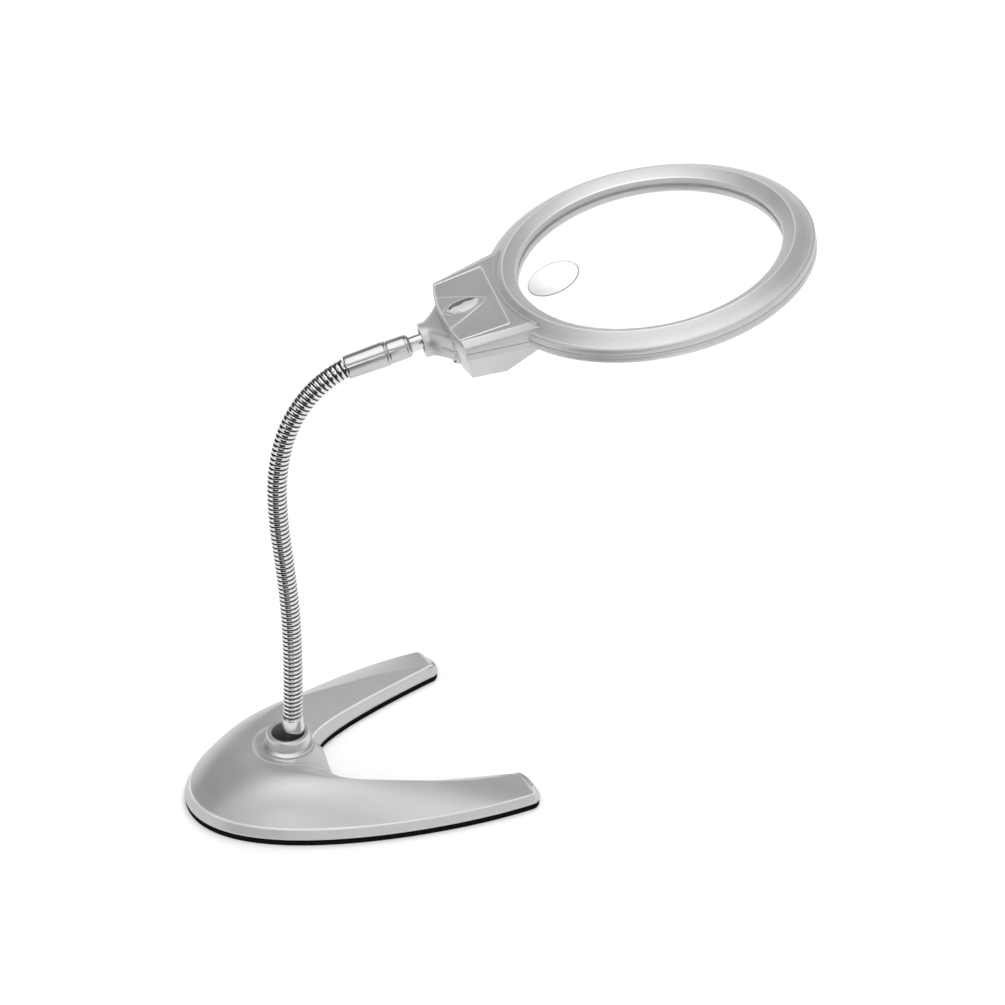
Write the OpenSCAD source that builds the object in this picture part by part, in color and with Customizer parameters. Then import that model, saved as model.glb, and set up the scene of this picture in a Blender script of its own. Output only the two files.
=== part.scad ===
// Low vision magnifier: a round lens with a high-power spot, in a battery-lit frame,
// on a bending gooseneck that stands in a weighted U-shaped base.
// Origin: on the floor, under the centre of the base's collar. +Z is up, and +X runs
// from the gooseneck towards the lens.

/* [Base] */
// Distance from the collar's centre to the back of the base
base_back = 53.5; // [50:0.5:58]
// Distance from the collar's centre to the start of the legs' rounded tips
base_front = 100.5; // [98:0.5:106]
// Half the width of the base, over the outside of the two legs
base_half_w = 71; // [68:0.5:74]
// Width of a leg near its tip
leg_w = 22; // [19:0.5:24]
// Angle that the base is turned to the left of the neck
base_turn = 12; // [0:1:15]
// Height of the top of the collar ring above the floor
collar_top = 33.7; // [32:0.1:35]
// Thickness of the rubber pad
pad_h = 3.6; // [3:0.1:4]

/* [Gooseneck] */
// Outer radius of the gooseneck
neck_r = 4.8; // [4.6:0.1:5]
// Distance from one bending point to the next
link_len = 25.8; // [24:0.1:27]
// How far ahead of the collar's centre the gooseneck stands
neck_x = 2.8; // [2:0.1:3.2]

/* [Head] */
// Radius of the clear view through the lens
view_r = 62.3; // [61:0.1:63]
// Outer radius of the frame around the lens
rim_r = 77.4; // [77:0.1:79]
// Half the width of the handle at its neck end
handle_half_w = 30.8; // [30:0.1:32]
// Radius of the high-power spot lens
spot_r = 11.8; // [10:0.1:13]
// Upward tilt of the lens
head_pitch = 11.25; // [9:0.25:13]
// Roll of the lens about the swivel pin
head_roll = 2.5; // [0:0.5:4]
// Wall thickness of the moulded shells
wall = 1.8; // [1.5:0.1:2]

/* [Hidden] */
$fn = 64;
eps = 0.01;

// ---- Base outline: two cubic curves and a rounded tip, mirrored across the centre line.
apex_x = 21;
tip_len = 7;
curve_steps = 10;
tip_steps = [0.5, 0.85, 0.98];
outer_curve = [[-base_back, 0], [-base_back, 51.4], [52.7, base_half_w + 1.5], [base_front, base_half_w]];
inner_curve = [[apex_x, 0], [apex_x, 11], [2.2, 23], [base_front, base_half_w - leg_w]];

function bezier(p, t) =
    pow(1 - t, 3) * p[0] + 3 * pow(1 - t, 2) * t * p[1] + 3 * (1 - t) * t * t * p[2] + pow(t, 3) * p[3];
// A station runs from 0 at the back to 1 at the start of the tip, then to 2 at the tip's end.
stations = concat([for (i = [0:curve_steps]) i / curve_steps], [for (q = tip_steps) 1 + q]);
// The cavity stops short of the tip, so that the leg's end has a wall.
cavity_stations = [for (s = stations) if (s < 1 + tip_steps[1]) s];
function tip_mid() = (outer_curve[3] + inner_curve[3]) / 2;
function tip_point(from, q) =
    tip_mid() + (from - tip_mid()) * sqrt(1 - q * q) + [tip_len * q, 0];
function outer_at(s) = s <= 1 ? bezier(outer_curve, s) : tip_point(outer_curve[3], s - 1);
function inner_at(s) = s <= 1 ? bezier(inner_curve, s) : tip_point(inner_curve[3], s - 1);
function flip(p) = [p[0], -p[1]];
function reversed(list) = [for (i = [len(list) - 1:-1:0]) list[i]];
left_outer = [for (s = stations) outer_at(s)];
left_inner = [for (s = stations) inner_at(s)];
function rest_of(list) = [for (i = [1:len(list) - 1]) list[i]];
base_outline = concat(
    reversed(left_inner), [for (p = rest_of(left_inner)) flip(p)],
    reversed([for (p = rest_of(left_outer)) flip(p)]), left_outer
);

module base_outline_2d(inset) {
    offset(delta = -inset) polygon(base_outline);
}

// ---- Base cover: sections across the U, from the outer skirt over the top to the inner skirt.
skirt_bottom = pad_h;
ridge_inset = 2.8;
// The loft runs a little below the skirt's edge, and is cut off level there.
skirt_below = 1;
skirt_flare = 0.5;
crest_top = 26.3;
tip_crest = 8.9;
function smooth(a, b, x) = let (k = min(max((x - a) / (b - a), 0), 1)) k * k * (3 - 2 * k);
function outer_ridge_z(s) = 8.6 - 0.8 * min(s, 1);
function inner_ridge_z(s) = 9.4 + 1.6 * smooth(0, 0.35, s) - 1.4 * smooth(0.5, 1, s);
function tip_drop(s) = s <= 1 ? 0 : 2.6 * pow(s - 1, 3);
// The crest runs round the back of the collar and along both legs. It lies this far across,
// between the two ridges, and this high.
function crest_across(s) =
    0.5 + 0.06 * (1 - smooth(0, 0.3, s)) + 0.15 * smooth(0.35, 0.85, s) + 0.33 * pow(smooth(0.8, 1.05, s), 1.5);
function crest_z(s) = crest_top - (crest_top - tip_crest) * pow(max(min(s, 1) - 0.3, 0) / 0.7, 1.58);
function outer_rise(s, t) = let (swell = 0.9 - 0.6 * smooth(0.2, 0.7, s)) t + swell * (t - t * t);
function inner_fall(s, t) = 1 - pow(t, 2.2 - 1.15 * smooth(0.1, 0.6, s));
function top_z(s, t, za, zb) = t <= 1
    ? za + (crest_z(s) - za) * outer_rise(s, t)
    : zb + (crest_z(s) - zb) * inner_fall(s, t - 1);
// Steps across the top: up to 1 from the outer ridge to the crest, then up to 2 at the inner ridge.
top_steps = [0, 0.28, 0.55, 0.8, 1, 1.3, 1.65, 2];
function shell_profile(s, inset) =
    let (
        a = outer_at(s),
        b = inner_at(s),
        across = (b - a) / norm(b - a),
        width = norm(b - a),
        side = min(ridge_inset, width * 0.2),
        a1 = a + across * (min(inset, width * 0.3) - skirt_flare),
        b1 = b - across * (min(inset, width * 0.3) - skirt_flare),
        a2 = a + across * (side + min(inset, width * 0.1)),
        b2 = b - across * (side + min(inset, width * 0.1)),
        za = outer_ridge_z(s),
        zb = inner_ridge_z(s)
    )
    concat(
        [[a1[0], a1[1], skirt_bottom - skirt_below]],
        [for (t = top_steps)
            let (k = t <= 1 ? t * crest_across(s) : crest_across(s) + (t - 1) * (1 - crest_across(s)))
            let (p = a2 + (b2 - a2) * k)
            [p[0], p[1], top_z(s, t, za, zb) - inset - tip_drop(s)]],
        [[b1[0], b1[1], skirt_bottom - skirt_below]]
    );
function mirror_profile(points) = [for (p = points) [p[0], -p[1], p[2]]];

module base_solid(inset) {
    left = [for (s = inset > 0 ? cavity_stations : stations) shell_profile(s, inset)];
    sections = concat(reversed([for (i = [1:len(left) - 1]) mirror_profile(left[i])]), left);
    across_n = len(sections[0]);
    along_n = len(sections);
    points = [for (section = sections) for (p = section) p];
    sides = [for (i = [0:along_n - 2]) for (j = [0:across_n - 1])
        let (k = (j + 1) % across_n, here = i * across_n, next = (i + 1) * across_n)
        for (corners = [[here + j, next + j, next + k], [here + j, next + k, here + k]]) corners];
    // Each end is a fan of triangles round the inner skirt's foot, from which the whole section shows.
    foot = across_n - 1;
    last = (along_n - 1) * across_n;
    first_cap = [for (j = [0:across_n - 3]) [foot, j, j + 1]];
    last_cap = [for (j = [0:across_n - 3]) [last + foot, last + j + 1, last + j]];
    polyhedron(points = points, faces = concat(first_cap, sides, last_cap), convexity = 8);
}

module turned() {
    rotate([0, 0, base_turn]) children();
}

// ---- Base fittings
plate_top = pad_h + 2.4;
plate_inset = 5;
collar_r = 10.8;
collar_hole_r = 8;
collar_seat = 25;
seat_r = 12.7;
well_floor = 18;
stud_r = 3.5;
screw_at = [[-33, 17], [-33, -17], [24, 37], [24, -37]];
boss_r = 3.4;
screw_r = 1.2;
screw_head_r = 2.6;
screw_head_h = 1.4;
screw_len = 6.4;
weight_top = 14;
nut_r = 6.5;
nut_h = 3.2;
stud_bottom = 4.6;
washer_r = 7.5;
washer_h = 1;

module stud_place() {
    translate([neck_x, 0, 0]) children();
}

module base_cover() {
    color([0.75, 0.76, 0.76])
    difference() {
        turned() difference() {
            union() {
                difference() {
                    base_solid(0);
                    base_solid(wall);
                }
                intersection() {
                    base_solid(wall / 2);
                    union() {
                        for (p = screw_at) translate([p[0], p[1], plate_top]) cylinder(r = boss_r, h = crest_top);
                        translate([0, 0, weight_top + 1.2]) cylinder(r = collar_r + 1, h = crest_top);
                        translate([0, 0, collar_seat - 3.2]) cylinder(r = seat_r + 0.7, h = crest_top);
                    }
                }
                translate([0, 0, weight_top + 4]) cylinder(r1 = collar_r + 7, r2 = collar_r + 2.4,
                    h = collar_seat - weight_top - 4);
            }
            for (p = screw_at) translate([p[0], p[1], plate_top - 1]) cylinder(r = screw_r, h = screw_len - 1);
            translate([-base_front, -base_front, skirt_bottom - 10]) cube([3 * base_front, 2 * base_front, 10]);
            translate([0, 0, collar_seat]) cylinder(r = seat_r, h = 20);
            translate([0, 0, well_floor]) cylinder(r = collar_hole_r + 1.5, h = 20);
        }
        stud_place() cylinder(r = stud_r + 0.2, h = 40);
    }
}

module base_collar() {
    color([0.72, 0.73, 0.74])
    rotate_extrude($fn = 96) polygon([
        [collar_hole_r, well_floor + 0.2], [collar_hole_r + 1.45, well_floor + 0.2],
        [collar_hole_r + 1.45, collar_seat], [collar_r + 1.6, collar_seat],
        [collar_r + 1.6, collar_seat + 1.4], [collar_r - 0.3, collar_seat + 2.4],
        [collar_r, collar_seat + 3.4], [collar_r, collar_top - 1.2],
        [collar_r - 0.8, collar_top], [collar_hole_r + 0.5, collar_top],
        [collar_hole_r, collar_top - 0.8]
    ]);
}

module base_weight() {
    weight_r = 27;
    weight_gap = 0.4;
    color([0.3, 0.3, 0.31])
    difference() {
        turned() intersection() {
            base_solid(wall + weight_gap + 0.6);
            difference() {
                translate([0, 0, plate_top]) linear_extrude(weight_top - plate_top) square(120, center = true);
                for (p = screw_at) translate([p[0], p[1], 0]) cylinder(r = boss_r + weight_gap, h = 40);
                translate([weight_r + 25, 0, 0]) cylinder(r = weight_r, h = 40);
            }
        }
        stud_place() cylinder(r = washer_r + 0.5, h = plate_top + 4);
        stud_place() cylinder(r = stud_r + 0.2, h = 40);
    }
}

module base_plate() {
    color([0.55, 0.56, 0.58])
    difference() {
        turned() difference() {
            translate([0, 0, pad_h]) linear_extrude(plate_top - pad_h) base_outline_2d(plate_inset);
            for (p = screw_at) {
                translate([p[0], p[1], pad_h - 1]) cylinder(r = screw_head_r + 0.2, h = screw_head_h + 1);
                translate([p[0], p[1], pad_h]) cylinder(r = screw_r + 0.2, h = 10);
            }
        }
        stud_place() cylinder(r = stud_r + 0.1, h = 10);
    }
}

module rubber_pad() {
    color([0.05, 0.05, 0.05])
    turned() linear_extrude(pad_h) base_outline_2d(0.8);
}

module base_screws() {
    color([0.6, 0.6, 0.62])
    turned() for (p = screw_at) translate([p[0], p[1], pad_h + screw_head_h]) {
        translate([0, 0, -screw_head_h]) difference() {
            cylinder(r = screw_head_r, h = screw_head_h);
            translate([0, 0, -eps]) cylinder(r = 1, h = 0.8, $fn = 6);
        }
        cylinder(r = screw_r - 0.05, h = screw_len - screw_head_h);
    }
}

module stud_washer() {
    color([0.7, 0.7, 0.72])
    stud_place() translate([0, 0, plate_top]) difference() {
        cylinder(r = washer_r, h = washer_h);
        translate([0, 0, -1]) cylinder(r = stud_r + 0.1, h = washer_h + 2);
    }
}

module stud_nut() {
    color([0.68, 0.66, 0.6])
    stud_place() translate([0, 0, plate_top + washer_h]) difference() {
        cylinder(r = nut_r, h = nut_h - 0.2, $fn = 6);
        translate([0, 0, -1]) cylinder(r = stud_r + 0.05, h = nut_h + 2);
    }
}

// ---- Gooseneck: bending points along a chain of equal links, each with its own lean.
// The lean is measured from upright, towards +X. The first and last stretches are half links.
link_lean = [2.2, 1.8, -0.5, -4.2, -5, 1.2, 14.8, 38, 66];
stub_base_z = 42.3;
ball_r = 3.4;
socket_r = 3.45;
waist_r = 1.8;
waist_h = 5.6;
socket_lip = 1.2;
function lean_dir(i) = [sin(link_lean[i]), 0, cos(link_lean[i])];
function joint_at(i) = i == 0
    ? [neck_x + 0.2, 0, stub_base_z] + lean_dir(0) * link_len / 2
    : joint_at(i - 1) + lean_dir(i) * link_len;
end_len = link_len / 2;
end_in = 2;
end_at = joint_at(7) + lean_dir(8) * end_len;

module lean(i) {
    rotate([0, link_lean[i], 0]) children();
}

module socket_cut() {
    sphere(r = socket_r);
    cylinder(r1 = 0, r2 = 6, h = 5.4);
}

module link_body(length) {
    difference() {
        union() {
            sphere(r = ball_r);
            cylinder(r = waist_r, h = waist_h + 1);
            translate([0, 0, waist_h]) cylinder(r1 = neck_r - 0.8, r2 = neck_r, h = 0.8);
            translate([0, 0, waist_h + 0.8]) cylinder(r = neck_r, h = length + socket_lip - waist_h - 0.8);
        }
        translate([0, 0, length]) socket_cut();
    }
}

module gooseneck_link(i) {
    color([0.8, 0.81, 0.82])
    translate(joint_at(i - 1)) lean(i) link_body(link_len);
}

module gooseneck_stub() {
    color([0.8, 0.81, 0.82])
    translate([neck_x + 0.2, 0, stub_base_z]) lean(0) difference() {
        cylinder(r = neck_r, h = link_len / 2 + socket_lip);
        translate([0, 0, link_len / 2]) socket_cut();
    }
}

module gooseneck_end() {
    color([0.8, 0.81, 0.82])
    translate(joint_at(7)) lean(8) {
        sphere(r = ball_r);
        cylinder(r = waist_r, h = waist_h + 1);
        translate([0, 0, waist_h]) cylinder(r1 = neck_r - 0.8, r2 = neck_r, h = 0.8);
        translate([0, 0, waist_h + 0.8]) cylinder(r = neck_r, h = end_len + end_in - waist_h - 0.8);
    }
}

module lower_ferrule() {
    ferrule_r = 5.7;
    foot_r = 5.1;
    color([0.85, 0.86, 0.87])
    difference() {
        stud_place() rotate_extrude() polygon([
            [0, stud_bottom], [stud_r, stud_bottom], [stud_r, well_floor], [foot_r, well_floor],
            [foot_r, collar_top + 0.5], [ferrule_r, collar_top + 2.5],
            [ferrule_r, stub_base_z + 1], [0, stub_base_z + 1]
        ]);
        translate([neck_x + 0.2, 0, stub_base_z]) lean(0) cylinder(r = 6.5, h = 6);
    }
}

// ---- Upper ferrule and swivel pin, on the pin's axis.
pin_pitch = 14.6;
pin_r = 3.7;
ferrule_len = 20.5;
sleeve_len = 9.8;
pin_gap = 5.6;
pin_in = 14.2;
pin_start = end_at;
function along_pin(d) = pin_start + d * [cos(pin_pitch), 0, sin(pin_pitch)];

module on_pin(d) {
    translate(along_pin(d)) rotate([0, 90 - pin_pitch, 0]) children();
}

module upper_ferrule() {
    cone_r1 = 5.6;
    cone_r2 = 6.15;
    sleeve_r = 5.6;
    color([0.85, 0.86, 0.87])
    difference() {
        on_pin(0) rotate_extrude($fn = 96) polygon([
            [0, 0], [cone_r1 - 0.3, 0], [cone_r1, 0.5], [cone_r2, ferrule_len - 0.6],
            [cone_r2 - 0.4, ferrule_len], [sleeve_r, ferrule_len + 0.3],
            [sleeve_r, ferrule_len + sleeve_len], [sleeve_r - 1.1, ferrule_len + sleeve_len + 1.4],
            [0, ferrule_len + sleeve_len + 1.4]
        ]);
        on_pin(pin_from) cylinder(r = pin_r + 0.02, h = 10);
        translate(end_at) lean(8) translate([0, 0, -4]) cylinder(r = neck_r + 0.05, h = 4 + end_in);
    }
}

pin_from = ferrule_len + sleeve_len - 6;
pin_to = ferrule_len + sleeve_len + 1.4 + pin_gap + pin_in;
neck_mouth = ferrule_len + sleeve_len + 1.4 + pin_gap - 1.2;
clip_at = pin_to - 3.2;
clip_t = 1;

module swivel_pin() {
    color([0.88, 0.88, 0.89])
    on_pin(0) difference() {
        union() {
            translate([0, 0, pin_from]) cylinder(r = pin_r, h = pin_to - pin_from - 0.6);
            translate([0, 0, pin_to - 0.6]) cylinder(r1 = pin_r, r2 = pin_r - 0.5, h = 0.6);
        }
        translate([0, 0, clip_at]) difference() {
            cylinder(r = pin_r + 1, h = clip_t);
            translate([0, 0, -1]) cylinder(r = pin_r - 0.8, h = clip_t + 2);
        }
    }
}

module pin_clip() {
    color([0.35, 0.35, 0.37])
    on_pin(clip_at) translate([0, 0, 0.1]) difference() {
        cylinder(r = pin_r + 1.6, h = clip_t - 0.2);
        translate([0, 0, -1]) cylinder(r = pin_r - 0.75, h = clip_t + 2);
        translate([-1.6, 0, -1]) cube([3.2, 10, clip_t + 2]);
    }
}

// ---- Head: drawn in its own frame, with the lens's centre at the origin and the lens level,
// then set on the swivel pin.
pin_local = [-112.4, 0, -11.7];
pin_mate = neck_mouth + 1.2;
head_lean = pin_pitch - head_pitch;

module place_head() {
    translate(along_pin(pin_mate)) rotate([0, -pin_pitch, 0]) rotate([head_roll, 0, 0])
        rotate([0, head_lean, 0]) translate(-pin_local) children();
}

module on_neck(d) {
    translate(pin_local) rotate([0, 90 - head_lean, 0]) translate([0, 0, d]) children();
}

part_z = -6;
neck_part_x = -101.9;
handle_x = -97.8;
handle_bow = 3.8;
joint_x = -60;
joint_half_w = 36.7;
lens_r = 65;
bay_floor = -19.9;

function handle_points(inset) = concat(
    [for (i = [-4:4])
        let (y = i / 4 * (handle_half_w - inset))
        [handle_x + inset - handle_bow * (1 - pow(i / 4, 2)), y]],
    [[joint_x, joint_half_w - inset], [joint_x, inset - joint_half_w]]
);

module slab(points, z, h) {
    translate([0, 0, z]) linear_extrude(h) polygon(points);
}

module handle_outer() {
    hull() {
        slab(handle_points(0), part_z - 3, 3);
        translate([handle_x, 0, -3.1]) rotate([0, -6.5, 0]) translate([-handle_x, 0, 0])
            slab(handle_points(0.4), 0, 0.6);
        translate([handle_x, 0, -0.9]) rotate([0, -4.5, 0]) translate([-handle_x, 0, 0])
            slab(handle_points(4), 0, 0.2);
    }
}

function bulge_points(inset) = [
    for (i = [-4:4]) let (y = i / 4 * (handle_half_w - 1 - inset))
        [handle_x + 0.4 + inset - (handle_bow - 0.4) * (1 - pow(i / 4, 2)), y],
    [-80.5 - inset / 2, 32.4 - inset], [-80.5 - inset / 2, inset - 32.4]
];

module bulge_outer() {
    hull() {
        slab(handle_points(0), part_z - 1, 1);
        slab(bulge_points(0.6), bay_floor, 0.6);
        translate([-75, 0, -15.9]) cube([0.2, 66, 0.2], center = true);
        translate([-66, 0, -11.6]) cube([0.2, 70, 0.2], center = true);
    }
}

module neck_outer() {
    hull() {
        on_neck(0) cylinder(r = 8, h = 2);
        on_neck(5) cylinder(r = 9, h = 2);
    }
    hull() {
        on_neck(5) cylinder(r = 9, h = 1);
        translate([-101, -17, -18.4]) cube([2, 34, 14.2]);
    }
}

rim_top = [
    [view_r, -3], [view_r, 0], [68.5, 2.8], [rim_r - 0.9, -1.4], [rim_r - 0.2, -1.9],
    [rim_r, -2.8], [rim_r, part_z]
];
rim_bottom = [
    [rim_r, part_z], [rim_r, -7.9], [rim_r - 1.4, -9.3], [70, -11.6], [view_r + 1, -11.2],
    [view_r, -9.8], [view_r, part_z - 0.2]
];

module rim_outer() {
    rotate_extrude($fn = 160) polygon(concat(rim_top, rim_bottom));
}

module rim_inner() {
    rotate_extrude($fn = 160) polygon([
        [66.2, part_z - 4], [66.2, part_z - 0.1], [lens_r + 0.2, part_z - 0.1], [lens_r + 0.2, -3],
        [66.4, -3], [66.4, -0.4], [68.5, 0.7],
        [rim_r - wall, -2.9], [rim_r - wall, -7.6], [70, -9.9]
    ]);
}

module handle_inner() {
    hull() {
        slab(handle_points(wall + 0.2), part_z - 1, 1);
        translate([handle_x, 0, -4.9]) rotate([0, -5, 0]) translate([-handle_x, 0, 0])
            slab(handle_points(wall + 1), 0, 0.6);
    }
}

bay_x = [-96.35, -74.9];
bay_half_w = 26.9;
cell_r = 5.25;
cell_len = 44.5;
cell_z = -12.2;
cell_x = [-91, -80.4];
door_hinge = [-80.4, -19];
door_half_w = 24;
door_from = -96.4;
door_t = 1.5;

module bay_cut() {
    translate([bay_x[0], -bay_half_w, -18.2])
        cube([cell_x[1] - bay_x[0], 2 * bay_half_w, 18.2 + part_z + 0.1]);
    translate([cell_x[1], 0, cell_z]) rotate([90, 0, 0])
        cylinder(r = cell_r + 0.3, h = 2 * bay_half_w, center = true);
    translate([cell_x[1], -bay_half_w, cell_z]) cube([bay_x[1] - cell_x[1] + 0.2, 2 * bay_half_w,
        part_z - cell_z + 0.1]);
}

module hollow() {
    difference() {
        union() {
            handle_inner();
            rim_inner();
            bay_cut();
            translate([-73.2, -33.2, -9.6]) cube([12, 66.4, 9.6 + part_z + 0.1]);
        }
        cylinder(r = lens_r + 0.2, h = 40, center = true, $fn = 160);
    }
    translate([0, 0, part_z - 0.15]) cylinder(r = lens_r + 0.2, h = -3 - part_z + 0.15, $fn = 160);
}

module view_hole() {
    cylinder(r = view_r, h = 60, center = true, $fn = 160);
}

module upper_region() {
    translate([-150, -100, 0]) rotate([90, 0, 0]) translate([0, 0, -200]) linear_extrude(200) polygon([
        [0, pin_local[2]], [150 + neck_part_x, pin_local[2] + 0.6],
        [150 + neck_part_x, part_z], [260, part_z], [260, 30], [0, 30]
    ]);
}

screw_ring_r = 71.2;
rim_screw_angles = [40, -40, 140, -140];
rim_boss_r = 2.6;
rim_pilot_r = 1;
switch_x = -84;
switch_z = -11.2;
side_turn = atan((joint_half_w - handle_half_w) / (joint_x - handle_x));
switch_travel = 3;
switch_depth = 3.2;
slider_half = 2;
led_x = -70.4;
led_y = 17;
led_r = 1.5;
bush_r = 5.2;
bush_len = 9;

function side_y(x) = handle_half_w + (x - handle_x) * tan(side_turn);

module side_place() {
    translate([switch_x, side_y(switch_x), switch_z]) rotate([0, 0, side_turn]) children();
}

module rim_bosses(low, high) {
    for (a = rim_screw_angles) rotate([0, 0, a]) translate([screw_ring_r, 0, low])
        cylinder(r = rim_boss_r, h = high - low);
}

module neck_bore() {
    on_neck(-4) cylinder(r = bush_r - 1.2, h = 10);
    on_neck(1) cylinder(r = bush_r, h = bush_len + 0.2);
    on_neck(1 + bush_len) cylinder(r = 6, h = pin_in + 0.4 - 1 - bush_len);
}

module head_blank() {
    difference() {
        union() {
            rim_outer();
            difference() {
                union() {
                    handle_outer();
                    bulge_outer();
                }
                cylinder(r = 70, h = 60, center = true, $fn = 160);
            }
            neck_outer();
        }
        difference() {
            hollow();
            neck_tower();
        }
        view_hole();
        neck_bore();
    }
}

module neck_tower() {
    translate([-106, -9, -18.2]) cube([bay_x[0] - 0.01 + 106, 18, 14]);
}

module head_top_shell() {
    color([0.72, 0.73, 0.73])
    place_head() difference() {
        union() {
            intersection() {
                head_blank();
                upper_region();
            }
            rim_bosses(part_z, -1.2);
        }
        for (a = rim_screw_angles) rotate([0, 0, a]) translate([screw_ring_r, 0, part_z - 1])
            cylinder(r = rim_pilot_r, h = 4.4);
        badge_cut();
    }
}

module head_bottom_shell() {
    color([0.7, 0.71, 0.71])
    place_head() difference() {
        union() {
            difference() {
                head_blank();
                upper_region();
            }
            rim_bosses(-10, part_z);
        }
        for (a = rim_screw_angles) rotate([0, 0, a]) {
            translate([screw_ring_r, 0, -20]) cylinder(r = 2.3, h = 11.2);
            translate([screw_ring_r, 0, -20]) cylinder(r = rim_pilot_r + 0.2, h = 20);
        }
        door_opening();
        side_place() {
            translate([-slider_half - switch_travel / 2 - 0.3, -4, -1.7])
                cube([2 * slider_half + switch_travel + 0.6, 8, 3.4]);
            translate([-5, -wall - switch_depth - 0.1, -2.6]) cube([10, switch_depth + 0.1, 5.2]);
        }
        for (side = [-1, 1]) translate([led_x, side * led_y, -20]) cylinder(r = 2.6, h = 20 + part_z - 1);
    }
}

module door_opening() {
    translate([door_from - 0.15, -door_half_w - 0.15, bay_floor - 1])
        cube([door_hinge[0] - door_from + 0.15, 2 * door_half_w + 0.3, 1 - bay_floor - 18.1]);
    translate([door_hinge[0], 0, door_hinge[1]]) rotate([90, 0, 0])
        cylinder(r = 0.95, h = 2 * door_half_w + 0.3, center = true);
    translate([door_hinge[0], 0, door_hinge[1]]) rotate([90, 0, 0])
        cylinder(r = 0.55, h = 2 * door_half_w + 3, center = true);
    translate([door_hinge[0] - 0.95, -door_half_w - 0.15, bay_floor - 1])
        cube([1.9, 2 * door_half_w + 0.3, 1 - bay_floor + door_hinge[1]]);
}

module battery_door() {
    color([0.7, 0.71, 0.71])
    place_head() {
        translate([door_from, -door_half_w, bay_floor + 0.05])
            cube([door_hinge[0] - door_from, 2 * door_half_w, door_t]);
        translate([door_hinge[0], 0, door_hinge[1]]) rotate([90, 0, 0])
            cylinder(r = 0.8, h = 2 * door_half_w, center = true);
        translate([door_hinge[0], 0, door_hinge[1]]) rotate([90, 0, 0])
            cylinder(r = 0.5, h = 2 * door_half_w + 2.6, center = true);
    }
}

// ---- Lens: two shallow domes on a flat rim, and a small steeper dome for the spot.
lens_top = -3.05;
lens_bottom = -6.1;
dome_r = view_r - 0.5;
top_sag = 8;
bottom_sag = 4.8;
spot_x = -46.4;
spot_rise = 2.3;
function sphere_r(a, sag) = (a * a + sag * sag) / (2 * sag);

module dome(a, sag) {
    big_r = sphere_r(a, sag);
    rotate_extrude($fn = 160) intersection() {
        translate([0, sag - big_r]) circle(r = big_r, $fn = 480);
        square([a, sag]);
    }
}

module lens() {
    top_r = sphere_r(dome_r, top_sag);
    slope = asin(spot_x / top_r);
    spot_sphere = 28;
    color([0.93, 0.94, 0.95, 0.5])
    place_head() {
        translate([0, 0, lens_bottom]) cylinder(r = lens_r, h = lens_top - lens_bottom, $fn = 160);
        translate([0, 0, lens_top]) dome(dome_r, top_sag);
        translate([0, 0, lens_bottom]) mirror([0, 0, 1]) dome(dome_r, bottom_sag);
        translate([0, 0, lens_top + top_sag - top_r]) rotate([0, slope, 0]) intersection() {
            translate([0, 0, top_r + spot_rise - spot_sphere]) sphere(r = spot_sphere, $fn = 96);
            translate([0, 0, top_r - 4]) cylinder(r = spot_r + 0.4, h = 8);
        }
    }
}

// ---- Badge: an eye shape, where two circles cross.
badge_x = -90;
badge_len = 15;
badge_w = 8;

module eye_2d(length, width) {
    arc_r = sphere_r(length / 2, width / 2);
    intersection() {
        translate([0, arc_r - width / 2]) circle(r = arc_r, $fn = 96);
        translate([0, width / 2 - arc_r]) circle(r = arc_r, $fn = 96);
    }
}

module badge_place() {
    translate([badge_x, 0, -0.35]) rotate([0, -4.5, 0]) children();
}

module badge_cut() {
    badge_place() translate([0, 0, -0.4]) linear_extrude(4) eye_2d(badge_len + 0.2, badge_w + 0.2);
}

module badge() {
    color([0.55, 0.56, 0.58])
    place_head() badge_place() translate([0, 0, -0.4]) linear_extrude(1.1) eye_2d(badge_len, badge_w);
}

// ---- Swivel bush
module neck_bush() {
    color([0.9, 0.9, 0.86])
    place_head() on_neck(1) difference() {
        cylinder(r = bush_r - 0.02, h = bush_len);
        translate([0, 0, -1]) cylinder(r = pin_r + 0.05, h = bush_len + 2);
    }
}

// ---- Switch
module switch_body() {
    color([0.15, 0.15, 0.16])
    place_head() side_place() difference() {
        translate([-4.8, -wall - switch_depth, -2.4]) cube([9.6, switch_depth, 4.8]);
        translate([-3.4 - switch_travel / 2 + 0.4, -wall - 1.4, -1.2]) cube([6 + switch_travel, 2, 2.4]);
    }
}

module switch_slider() {
    color([0.2, 0.2, 0.21])
    place_head() side_place() translate([-switch_travel / 2, 0, 0]) {
        translate([-1.2, -wall - 1.3, -1]) cube([2.4, 2.4, 2]);
        translate([-slider_half, -wall + 0.1, -1.5]) cube([2 * slider_half, wall + 1.2, 3]);
        for (x = [-1.2, 0, 1.2]) translate([x - 0.2, 1.2, -1.5]) cube([0.4, 0.5, 3]);
    }
}

// ---- Lighting
module led_board() {
    color([0.1, 0.35, 0.2])
    place_head() translate([-73, -22, -3.9]) cube([5, 44, 0.8]);
}

module led_lamp(side) {
    color([0.95, 0.95, 0.85])
    place_head() translate([led_x, side * led_y, -3.9]) mirror([0, 0, 1]) {
        cylinder(r = led_r + 0.3, h = 0.8);
        cylinder(r = led_r, h = 3.4);
        translate([0, 0, 3.4]) sphere(r = led_r);
    }
}

module led_windows() {
    color([0.9, 0.95, 1, 0.5])
    place_head() for (side = [-1, 1]) translate([led_x, side * led_y, -11.6]) cylinder(r = 2.6, h = 1.4);
}

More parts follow.
